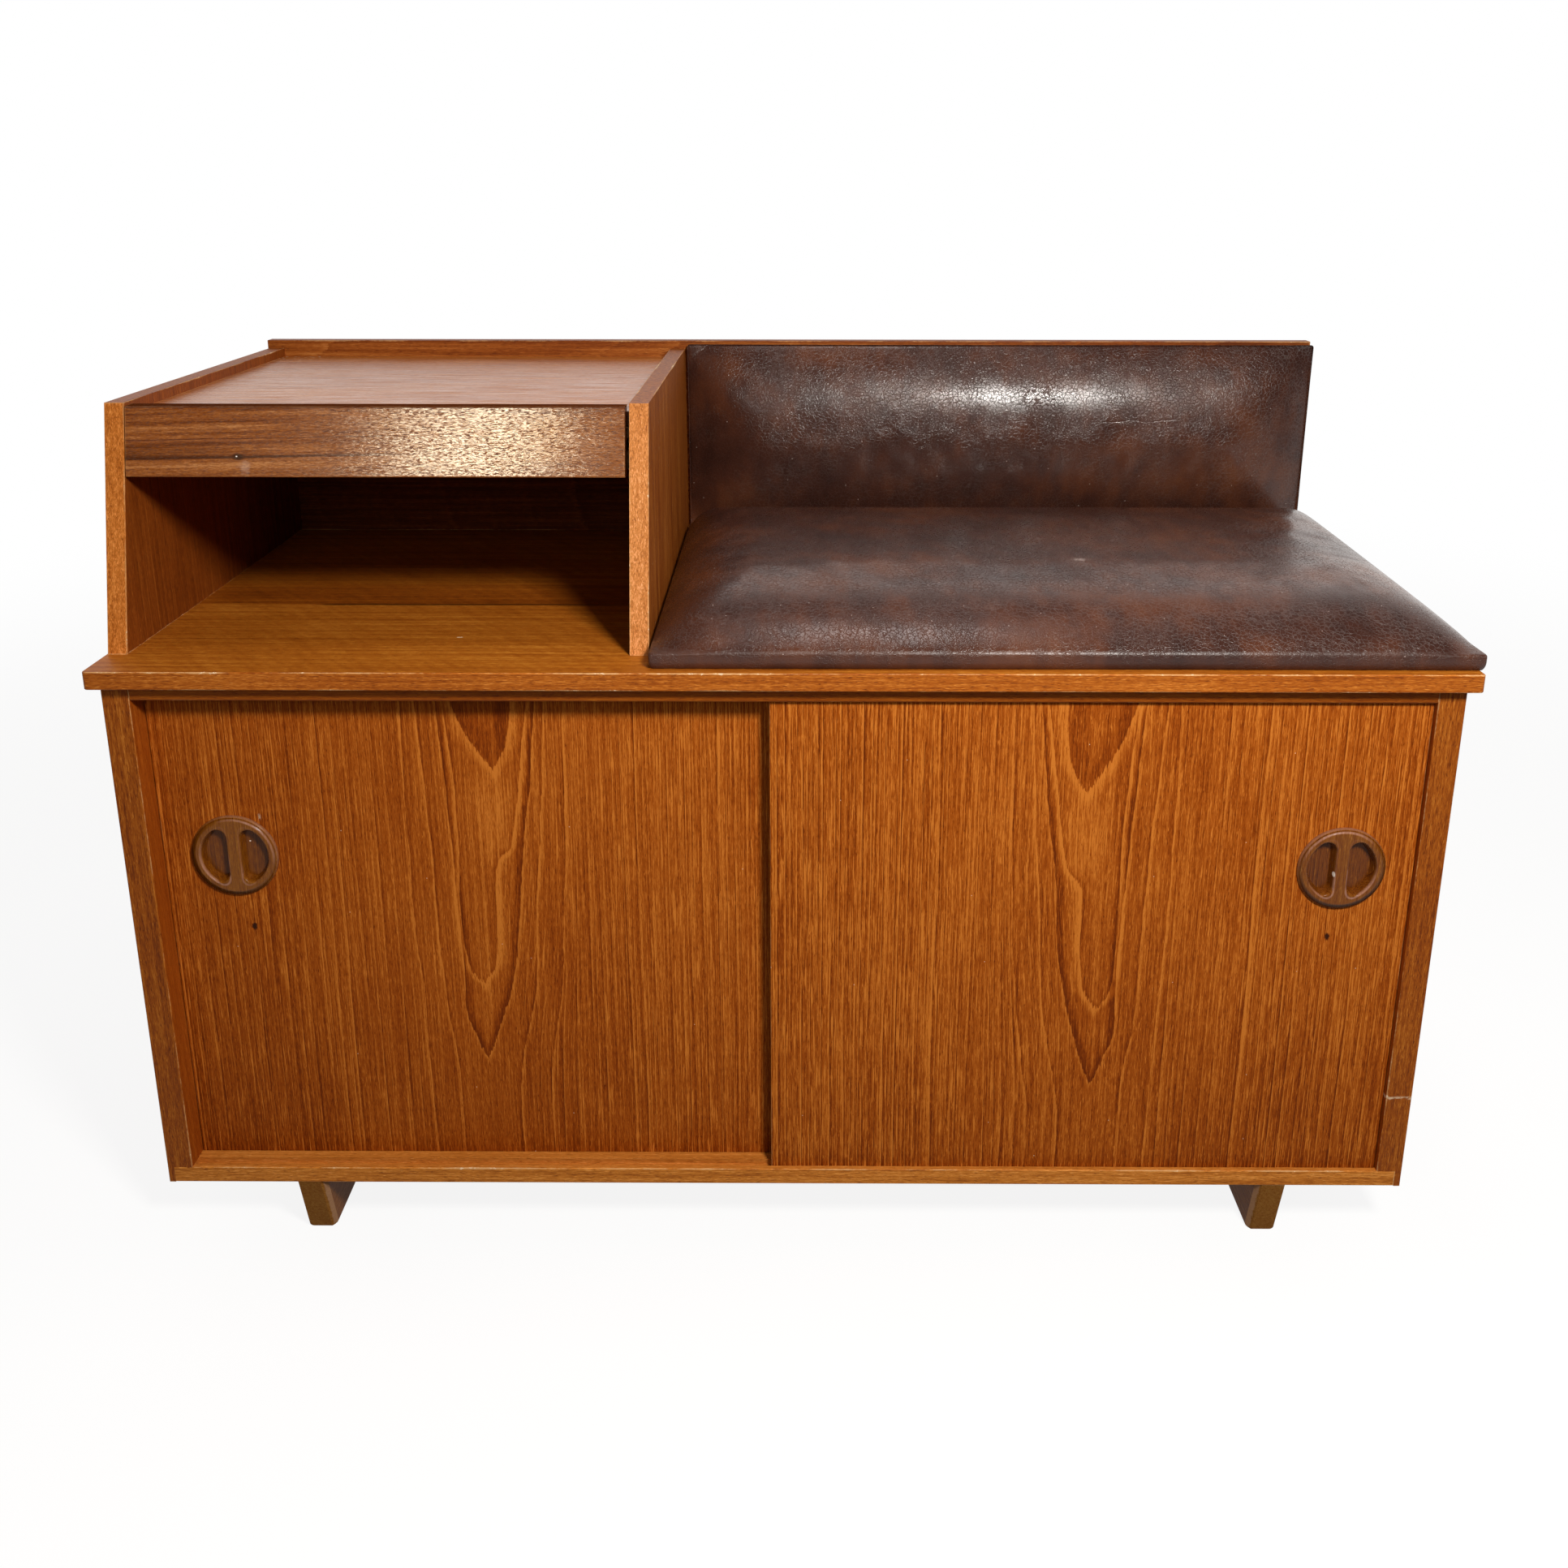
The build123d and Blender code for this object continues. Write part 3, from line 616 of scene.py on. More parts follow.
# ---- drawer front
VEIN_START = (-459 * MM, 600 * MM)
DRAWER_KNOT = (-380.5 * MM, 601.5 * MM)
# Place of the highlight painted into the knot
DRAWER_PAINTED_GLINT = (-381.5 * MM, 601.8 * MM)
DRAWER_SCUFF = (-376 * MM, 594 * MM)


def drawer_pores(graph, point):
    """Short dark pores that cut the drawer front's figure, 0 to 1."""
    x, y, z = point
    fine = graph.noise((x, y, z - x * 0.06), (3.2 * MM, 3 * MM, 0.42 * MM), 2.0, 0.55, 9.0)
    return fine.step(0.02, 0.10)


def dipped_normal(graph, point):
    """Normal of fibres that dip into the front of the drawer by about 25 degrees.

    Their glint lights up its middle. The top edge leans back, so that it shows none.
    """
    x, y, z = point
    ropes = graph.noise((x + z * 1.2, y, z - x * 0.2), (2.6 * MM, 9 * MM, 0.9 * MM), 1.0, seed=1.0)
    dashes = graph.noise((x, y, z - x * 0.06), (3.6 * MM, 3 * MM, 0.42 * MM), 2.0, seed=19.0)
    front = (upright(y, z) - panel_low.y).step(1.2 * MM, 0.5 * MM)
    lean_x = (ropes * 0.12 + dashes * 0.14 + 0.427) * front
    lean_z = (dashes * 0.54 + ropes * 0.08 + 0.165) * front
    top = z.step(z_drawer_top - 1.0 * MM, z_drawer_top - 0.3 * MM)
    return graph.tilted(lean_x, top * -1.2, lean_z - top * 0.3)


def drawer_figure(graph, point):
    """Change of tone from bands, ropes and pores, all strongest at the left end."""
    x, y, z = point
    left = x.step(-240 * MM, -400 * MM)
    rope = graph.noise((x + z * 1.2, y, z - x * 0.2), (2.4 * MM, 9 * MM, 0.8 * MM), 2.0, 0.55, 1.0)
    bands = graph.noise((x, y, z - x * 0.03), (200 * MM, 3 * MM, 3 * MM), 3.0, 0.6, 27.0)
    pores = drawer_pores(graph, point)
    return bands * (left * 1.1 + 0.3) + rope * (left * 0.40 + 0.16) - pores * (0.46 - left * 0.22)


def drawer_veins(graph, x, z):
    """A dark vein that runs in from the left end, the smoke above it and a thinner vein."""
    drift = graph.noise((x, x, x), 60 * MM, 2.0, seed=4.0) * (5 * MM)
    height = z - VEIN_START[1] + (x - VEIN_START[0]) * -0.018 + drift * 0.25
    vein = height.line(0.0, 1.2 * MM, 1.0 * MM) * x.step(-215 * MM, -400 * MM)
    smoke = (height - 7 * MM).step(7 * MM, -6 * MM) * height.step(-0.6 * MM, 0.2 * MM)
    smoke = smoke * x.step(-330 * MM, -450 * MM)
    upper = height.line(12.5 * MM, 0.6 * MM, 0.6 * MM) * x.step(-250 * MM, -300 * MM)
    return vein, smoke, upper


def drawer_marks(graph, point, tone):
    """Figure, veins, a knot with a painted glint in it, painted shade along the top and a pale scuff on
    the drawer front.
    """
    x, _, z = point
    vein, smoke, upper = drawer_veins(graph, x, z)
    # Painted shade: the drawer front is darker towards its top and much darker on its top edge, in the
    # gap under the shelf.
    top = z.step(628 * MM, 634 * MM) * 0.10 + z.step(634.2 * MM, 635 * MM) * 0.5
    knot = graph.distance(x, z, DRAWER_KNOT, (0.25, 1.0)).step(2.8 * MM, 1.0 * MM)
    # A tiny pale spot in the knot is a painted highlight, not a mark of the wood.
    glint = graph.distance(x, z, DRAWER_PAINTED_GLINT, (0.4, 1.0)).step(0.55 * MM, 0.25 * MM)
    rough = graph.noise(point, 3 * MM, 3.0, 0.65) * (8 * MM)
    scuff = graph.distance(x, z, DRAWER_SCUFF, (1.0, 0.8)) + rough
    shifted = tone + drawer_figure(graph, point)
    shifted = shifted - vein * 0.80 - smoke * 0.34 - upper * 0.50 - top - knot * 0.9
    dark = (vein * 0.55).over(knot * 0.85).over(smoke * 0.25)
    paint = graph.mix(dark.step(0.0, 0.04), (0.60, 0.50, 0.44), (0.030, 0.011, 0.004))
    paint = graph.mix(glint, paint, (0.8, 0.72, 0.66))
    return shifted, ((scuff.step(5.5 * MM, 1 * MM) * 0.16).over(glint).over(dark), paint)


# ---- boards
MINERAL_LINE = -48 * MM
SEAT_CRUMB = (-236 * MM, -128 * MM)
CHIPPED_LINE = 130 * MM
SHELF_CLOUD = (-270 * MM, -108 * MM)


def floor_marks(graph, point, tone):
    """Bands, the dark mineral line and a crumb on the open part of the seat board."""
    x, y, z = point
    drift = graph.noise((x, x, x), 150 * MM, 2.0, seed=3.0) * (4 * MM)
    place = y + drift
    stripes = graph.noise((x, place, z), (0.5, 6 * MM, 0.5), 3.0, 0.6, 8.0) * 0.62
    ripple = graph.noise((x + y * 0.9, y - x * 0.2, z), (9 * MM, 60 * MM, 60 * MM), 2.0, seed=7.0) * 0.28
    band = place.step(MINERAL_LINE, MINERAL_LINE + 5 * MM) * place.step(20 * MM, -20 * MM)
    band = band * x.step(-474 * MM, -440 * MM) * 0.20
    gold = place.step(-40 * MM, -60 * MM) * 0.06
    line = place.line(MINERAL_LINE, 2.8 * MM, 1.6 * MM)
    line = line * x.step(-372 * MM, -352 * MM) * x.step(-100 * MM, -170 * MM)
    streak = line * (stripes + 0.9).under(1.0)
    rough = graph.noise(point, 3 * MM, 1.0) * (2 * MM)
    crumb = graph.distance(x, y, SEAT_CRUMB, (1.0, 6.0)) + rough
    amount = (crumb.step(2.6 * MM, 1.8 * MM) * 0.9).over(streak * 0.85)
    paint = graph.mix(streak.step(0.0, 0.05), CHIPPED, (0.030, 0.0075, 0.0012))
    return tone - band + stripes + ripple + gold, (amount, paint)


def bridge_marks(graph, point, tone):
    """The chipped line across the front edge of the right side panel."""
    _, y, z = point
    ragged = graph.noise(point, (5 * MM, 5 * MM, 3 * MM), 3.0, 0.65) * (6 * MM)
    line = (z + ragged).line(CHIPPED_LINE, 1.6 * MM, 1.2 * MM)
    line = line * (ragged + 0.6 * MM).step(0.0, 1.2 * MM)
    return tone, (line * (y - y_side_front).step(9 * MM, 3 * MM) * 0.7, CHIPPED)


def shelf_marks(graph, point, tone):
    """Fine pale streaks, one darker cloud, painted shade on the underside and cream crumbs at the rear
    corner of the shelf.
    """
    x, y, z = point
    streaks = graph.noise(point, (160 * MM, 2.4 * MM, 300 * MM), 3.0, 0.65, 2.0) * 1.1
    cloud = graph.distance(x, y, SHELF_CLOUD, (0.12, 1.0)).step(26 * MM, 2 * MM) * 0.16
    # Painted shade: the shelf's underside, the ceiling of the bay, is darker.
    under = (z - shelf_low.z).step(0.6 * MM, 0.3 * MM) * 0.30
    corner = (x + 438 * MM).step(34 * MM, 4 * MM) * (y - 150 * MM).step(0.0, 16 * MM)
    crumbs = graph.noise(point, 3 * MM, 2.0, 0.6, 6.0).step(0.10, 0.16) * corner
    return tone + streaks - cloud - under, (crumbs, CHIPPED)


def shelf_pores(graph, point):
    """Fine dull streaks along the shelf, 0 to 1."""
    return graph.noise(point, (60 * MM, 1.6 * MM, 1.6 * MM), 3.0, 0.65, 12.0).step(-0.10, 0.20)


def bay_side_shade_and_streaks(graph, point, tone):
    """Painted shade and stripy veneer on the face of the upper side panel that looks into the bay."""
    # The face into the bay is painted darker, as shade that the bay holds.
    inside = (point[0] - shelf_low.x).step(-3 * MM, -1 * MM)
    streaks = graph.noise(point, (4 * MM, 4 * MM, 120 * MM), 3.0, 0.65, 37.0)
    return tone - inside * 0.16 + streaks * inside * 0.5, None


def divider_marks(graph, point, tone):
    """Dark upright streaks and a few pale specks on the divider."""
    _, y, z = point
    streaks = graph.noise(point, (4 * MM, 4 * MM, 90 * MM), 3.0, 0.65, 33.0) * 1.3
    return tone + streaks, (graph.dots(y, z, 40 * MM, 0.6 * MM) * 0.8, CHIPPED)


def back_marks(graph, point, tone):
    """The back board's dull, dark top, and painted shade on its front inside the bay."""
    x, y, z = point
    # Painted shade: the back board's front is darker inside the bay.
    bay_painted_shade = (shelf_high.z - z).step(-1 * MM, 1 * MM) * (panel_low.x - x).step(-1 * MM, 1 * MM)
    bay_painted_shade = bay_painted_shade * (y - y_back_board).step(2 * MM, 1 * MM)
    streaks = graph.noise(point, (120 * MM, 3 * MM, 3 * MM), 3.0, 0.65, 35.0) * 0.9
    top = (z - shelf_high.z).step(10 * MM, 14 * MM)
    return tone + streaks - top * 0.22 - bay_painted_shade * 0.28, None


def foot_wear_and_painted_light(node, inward):
    """Ends of a foot, painted lighter where they face forward, and bare wood worn along the arris on the
    bench's inner side.
    """
    low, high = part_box(node)
    arris = high.x if inward > 0 else low.x

    def marks(graph, point, tone):
        # Painted light: faces that look forward are made lighter, as if lit from the front.
        front_painted_light = graph.split(graph.field("NewGeometry", {}, "Normal"))[1].step(-0.35, -0.6)
        ragged = graph.noise(point, (2 * MM, 2 * MM, 6 * MM), 2.0, seed=3.0) * (2 * MM)
        strip = ((point[0] - arris) * -inward + ragged).step(3.2 * MM, 2.2 * MM) * front_painted_light
        # The forward faces get painted light; the pale strip along the inner arris is bare, worn wood.
        return tone + front_painted_light * 0.24, (strip * 0.55, (0.50, 0.30, 0.19))

    return marks


def dress_cabinet():
    """Seat board, sides, bottom, rail, partition and feet."""
    board("seat_board", "x", quarter(8 * MM, 0.26, 0.012, 1.0), colours=shade(TEAK, 1.04, 1.34, 1.3),
          front=shade(TEAK, 1.22, 1.50, 2.0), marks=floor_marks, chips=1.6, wear=1.0, seed=1.0)
    board("bottom_board", "x", quarter(4 * MM, 0.22, seed=2.0), colours=shade(GOLD, 1.25, 1.25, 1.25),
          front=shade(GOLD, 1.34, 1.32, 1.2), chips=1.2, wear=1.0, seed=2.0)
    board("upper_track_rail", "x", quarter(4 * MM, 0.2, seed=3.0),
          colours=shade(TEAK, 0.95, 1.05, 0.8), wear=1.0, seed=3.0)
    for node, chips, marks, seed in (("side_panel_left", 0.9, None, 4.0),
                                     ("side_panel_right", 1.1, bridge_marks, 5.0)):
        board(node, "z", crown_cut((0.03, 0.5), 7 * MM, seed=seed), marks=marks,
              front=shade(TEAK, 0.92, 1.05, 1.1), chips=chips, seed=seed)
    board("centre_partition", "z", quarter(6 * MM, 0.2, seed=11.0), seed=11.0)
    for node, inward, seed in (("runner_left", 1.0, 12.0), ("runner_right", -1.0, 13.0)):
        board(node, "y", quarter(5 * MM, 0.3, seed=seed), colours=shade(TEAK, 0.62, 0.92, 1.4),
              marks=foot_wear_and_painted_light(node, inward), gloss=0.03, wear=0.5, seed=seed)


def dress_phone_unit():
    """Leaning panels, shelf, back board and drawer front."""
    board("upper_side_panel", "z", quarter(6 * MM, 0.40, seed=6.0), marks=bay_side_shade_and_streaks, lean=True,
          colours=shade(TEAK, 0.80, 0.94, 1.5), front=shade(GOLD, 1.26, 1.12, 1.1),
          chips=1.3, seed=6.0)
    board("divider_panel", "z", quarter(6 * MM, 0.55, seed=7.0), marks=divider_marks, lean=True,
          colours=shade(TEAK, 0.72, 0.85, 1.1), front=shade(GOLD, 1.38, 1.50, 2.6),
          chips=1.4, seed=7.0)
    board("phone_shelf", "x", quarter(7 * MM, 0.3, seed=8.0), marks=shelf_marks, pitted=shelf_pores,
          colours=shade(TEAK, 1.1, 1.45, 1.9), gloss=0.86, roughness=0.24,
          sheen=(1.0, 0.98, 0.96), seed=8.0)
    board("back_board", "x", crown_cut((0.52, 0.9), 7 * MM, seed=9.0), marks=back_marks,
          colours=shade(TEAK, 0.86, 1.05, 1.9), chips=0.6, seed=9.0)
    board("drawer_front", "x", quarter(8 * MM, 0.14, 0.01, 10.0), marks=drawer_marks, lean=True,
          colours=shade(TEAK, 0.68, 0.95, 2.5), fibre=0.9, wear=0.12, gloss=0.185, roughness=0.145,
          sheen=(1.0, 0.93, 0.71), pitted=drawer_pores, normal=dipped_normal, seed=10.0)


BEECH = ((0.36, 0.20, 0.09), (0.50, 0.31, 0.16), (0.60, 0.40, 0.22), (0.70, 0.50, 0.30))
PLYWOOD = ((0.28, 0.16, 0.07), (0.42, 0.26, 0.13), (0.52, 0.34, 0.18), (0.60, 0.42, 0.25))


def dress_hidden_wood():
    """Drawer box, its battens, dowels and the plywood parts."""
    for node, grain in (("drawer_side_left", "y"), ("drawer_side_right", "y"), ("drawer_back", "x"),
                        ("drawer_runner_left", "y"), ("drawer_runner_right", "y")):
        board(node, grain, quarter(3 * MM, 0.14), colours=BEECH, wear=0.2)
    for node, grain in (("drawer_bottom", "x"), ("cabinet_back_panel", "z"), ("seat_pad_base", "x"),
                        ("backrest_base", "x")):
        board(node, grain, crown_cut((0.1, 0.6), 11 * MM, 0.3), colours=PLYWOOD, wear=0.2)
    for node in ("cabinet_dowels", "upper_panel_dowels", "phone_shelf_dowels"):
        board(node, "z", quarter(3 * MM, 0.12), colours=BEECH, wear=0.0)


# ---- pulls
PULL_RIM_ROUND = 27.2 * MM  # radius at which the rim starts to round over
# The groove is not in the mesh; only a thin ring of painted shade marks it.
PULL_QUIRK = 30.0 * MM  # radius of the fine turned groove
RECESS_RADIUS = 24.9 * MM
RECESS_CORNER = 7 * MM
HALF_BAR = 4.4 * MM


@dataclass
class Pull:
    """Looks of a turned pull, which has two D-shaped recesses either side of a bar."""

    node: str
    nick: tuple  # place of its white nick from the centre
    nick_length: float  # how much longer than wide the nick is
    worn: tuple  # direction of the painted highlight on the rim; the painted highlights on the recesses' lips lie on the opposite side
    tint: tuple
    seed: float

    def __post_init__(self):
        low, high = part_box(self.node)
        self.front = low.y
        self.middle = ((low.x + high.x) / 2, (low.z + high.z) / 2)

    def places(self, graph, point):
        """Place across and up from the pull's centre, distance from it and depth from its front."""
        x, y, z = point
        radius = graph.distance(x, z, self.middle).over(1 * MM)
        return x - self.middle[0], z - self.middle[1], radius, y - self.front

    def normal(self, graph, point):
        """Normal of a flat rim that rounds over towards its edge."""
        across, up, radius, depth = self.places(graph, point)
        rounding = ((radius - PULL_RIM_ROUND) * (1 / (1.9 * MM))).over(0.0).under(1.0)
        lean = rounding * 1.08 * depth.step(0.6 * MM, 0.3 * MM)
        return graph.tilted(across / radius * lean, 0.0, up / radius * lean)

    def marks(self, graph, point, tone):
        """Painted highlights on the rim and the recesses' lips, painted shade in a turned groove and in
        the recesses, and one white nick.
        """
        across, up, radius, depth = self.places(graph, point)
        side = (across * self.worn[0] + up * self.worn[1]) / radius
        shallow = depth.step(2.6 * MM, 1.6 * MM)
        ragged = graph.noise(point, (1.5 * MM, 1.5 * MM, 4 * MM), 2.0, seed=2.0)
        outer = (radius - (RECESS_RADIUS - RECESS_CORNER)).over(0.0)
        inner = ((HALF_BAR + RECESS_CORNER) - abs(across)).over(0.0)
        edge = graph.distance(outer, inner, (0.0, 0.0)) - RECESS_CORNER
        # Painted highlights along the recesses' lips, strongest on the side away from the light.
        lip_painted_highlight = abs(edge).step(1.0 * MM, 0.1 * MM) * shallow * (ragged + 0.85)
        lip_painted_highlight = lip_painted_highlight * (side.step(-0.1, -0.9) * 0.55 + 0.08)
        # Painted highlights on the rim's crest and outer edge, on the side towards the light.
        crest_painted_highlight = abs(radius - 28.6 * MM).step(1.4 * MM, 0.2 * MM) * side.step(0.35, 0.95) * (ragged + 0.5)
        rim_painted_highlight = (radius.step(30.3 * MM, 30.9 * MM) * side.step(0.0, 0.9, 0.04, 0.25)).over(crest_painted_highlight)
        weights = (1.0, 1 / self.nick_length ** 2)
        spot = graph.distance(across, up, self.nick, weights).step(0.8 * MM, 0.45 * MM)
        # Painted shade: the recesses are darker with depth, and a thin dark ring stands for the shade of
        # a fine turned groove.
        deep = depth.step(1.0 * MM, 3.0 * MM)
        quirk = radius.line(PULL_QUIRK, 0.5 * MM, 0.4 * MM) * shallow
        # Pinkish colour of the painted highlights, and white for the nick.
        paint = graph.mix(spot, (0.46, 0.24, 0.17), (0.9, 0.8, 0.7))
        return tone - deep * 0.20 - quirk * 0.20, (spot.over(rim_painted_highlight).over(lip_painted_highlight), paint)


def dress_pulls():
    for pull in (
        Pull("pull_left", (10 * MM, 9 * MM), 1.0, (0.66, 0.75), (0.66, 0.95, 1.0), 14.0),
        Pull("pull_right", (-4.9 * MM, -4.5 * MM), 3.2, (-0.26, 0.97), (0.56, 0.76, 1.0), 15.0),
    ):
        board(pull.node, "z", quarter(3 * MM, 0.42, seed=pull.seed), colours=shade(TEAK, *pull.tint),
              marks=pull.marks, normal=pull.normal, gloss=0.16, roughness=0.24, wear=0.0, seed=pull.seed)


# ---- screws and pins
def steel():
    """Zinc-plated steel, faintly blotched and scratched."""
    graph = new_material("zinc_steel")
    point = graph.point()
    bloom = graph.noise(point, 3 * MM, 3.0)
    scratches = graph.noise(point, (0.3 * MM, 3 * MM, 0.3 * MM), 2.0)
    colour = graph.ramp(bloom + 0.5, [(0.2, (0.42, 0.40, 0.37)), (0.8, (0.62, 0.60, 0.56))])
    return graph.show(graph.field("BsdfPrincipled", {
        "Base Color": colour,
        "Metallic": 1.0,
        "Roughness": 0.38 + bloom * 0.2 + scratches * 0.1,
        "Normal": graph.bump(scratches, 0.02 * MM),
    }))


def dress_steel():
    metal = steel()
    for node in nodes:
        if node.endswith("_screws") or node.endswith("_pins"):
            dress(node, metal)


# ---- upholstery
LEATHER_STOPS = [(0.22, (0.030, 0.0110, 0.0080)), (0.44, (0.050, 0.0172, 0.0110)),
                 (0.62, (0.082, 0.0260, 0.0125)), (0.85, (0.120, 0.0390, 0.0155))]


LEATHER_SCUFF = (222 * MM, -76 * MM)
FAN_CENTRE = (455 * MM, -60 * MM)
LONG_CREASE = 577 * MM
SHORT_CREASE = 526 * MM


def crackle(graph, point):
    """Grooves of a crackled skin, deep in some places, and hair cracks between them."""
    bends = [graph.noise(point, 7 * MM, 3.0, 0.6, seed) * (7 * MM) for seed in (1.0, 3.0, 6.0)]
    twisted = [p + bend for p, bend in zip(point, bends)]
    half_twisted = [p + bend * 0.5 for p, bend in zip(point, bends)]
    place = graph.noise(point, 38 * MM, 2.0, seed=9.0).step(-0.14, 0.14, 0.35, 1.0)
    groove = graph.cells(twisted, (3.7 * MM, 3.0 * MM, 3.0 * MM)).step(0.10, 0.0) * place
    hair = graph.cells(half_twisted, (1.8 * MM, 1.5 * MM, 1.5 * MM)).step(0.14, 0.0) * place
    return groove, hair


def crease(graph, point, height, slope, ends, fades):
    """One long crease across the backrest, from a height at X 0, fading out at both ends."""
    x, y, z = point
    bend = graph.noise((x, x, x), 30 * MM, 2.0, seed=21.0) * (7 * MM)
    line = (z + bend - x * slope).line(height, 0.9 * MM, 0.9 * MM)
    left, right = ends
    line = line * x.step(left, left + fades[0]) * x.step(right, right - fades[1])
    return line * y.step(100 * MM, 130 * MM)


def wrinkle_fan(graph, point):
    """A fan of fine arcs near the seat's right end."""
    x, y, _ = point
    bend = graph.noise((x, x, x), 30 * MM, 2.0, seed=21.0) * (7 * MM)
    reach = graph.distance(x, y, FAN_CENTRE)
    waves = graph.math("SINE", (reach + bend * 0.6) * (1 / (1.1 * MM))).over(0.0)
    fan = waves * reach.step(40 * MM, 55 * MM) * reach.step(95 * MM, 70 * MM)
    return fan * y.step(20 * MM, -60 * MM) * 0.22


def leatherette():
    """Dark brown leatherette: red-brown mottling, a crackled skin and a satin gloss."""
    graph = new_material("leatherette")
    point = graph.point()
    x, y, z = point
    blots = graph.noise(point, (85 * MM, 70 * MM, 70 * MM), 3.0, 0.6)
    streaks = graph.noise(point, (16 * MM, 34 * MM, 34 * MM), 3.0, 0.6, 5.0)
    colour = graph.ramp(blots * 1.05 + streaks * 0.55 + 0.48, LEATHER_STOPS)
    groove, hair = crackle(graph, point)
    # The grooves are painted paler: partly dust caught in them, partly a painted highlight on their
    # edges.
    colour = graph.mix(groove * 0.10, colour, (0.17, 0.095, 0.065))
    rough = graph.noise(point, 3 * MM, 2.0) * (6 * MM)
    scuff = graph.distance(x, y, LEATHER_SCUFF, (0.4, 1.0)) + rough
    lint = graph.dots(x, y + z, 42 * MM, 0.45 * MM)
    colour = graph.mix((scuff.step(4.5 * MM, 1.5 * MM) * 0.35).over(lint), colour, (0.62, 0.50, 0.46))
    pebble = graph.noise(point, 0.9 * MM, 2.0)
    slack = graph.noise(point, 9 * MM, 2.0, seed=17.0)
    long_crease = crease(graph, point, LONG_CREASE, 0.0, (270 * MM, 385 * MM), (30 * MM, 35 * MM))
    short_crease = crease(graph, point, SHORT_CREASE, 0.3, (-45 * MM, 45 * MM), (20 * MM, 30 * MM))
    wrinkles = (long_crease + short_crease) * 0.8 + wrinkle_fan(graph, point)
    height = pebble * 0.14 + slack * 0.14 - groove * 0.85 - hair * 0.26 - wrinkles
    lip = (z - pad_low.z).step(14 * MM, 12 * MM)
    return graph.show(graph.field("BsdfPrincipled", {
        "Base Color": colour,
        "Roughness": 0.215 + pebble * 0.12 + groove * 0.25 + lip * 0.14,
        "Specular IOR Level": 0.46,
        "Normal": graph.bump(height, 0.30 * MM, 0.66),
    }))


def grid_places(length):
    """Grid places along one side of a pad: close together at the lips, even in between."""
    cell = 5 * MM
    lip = np.array([0.0, 0.8, 2.0, 3.8, 6.4, 10.0]) * MM
    count = round((length - 2 * lip[-1]) / cell)
    middle = np.linspace(lip[-1], length - lip[-1], count + 1)
    return np.concatenate([lip[:-1], middle, length - lip[-2::-1]])


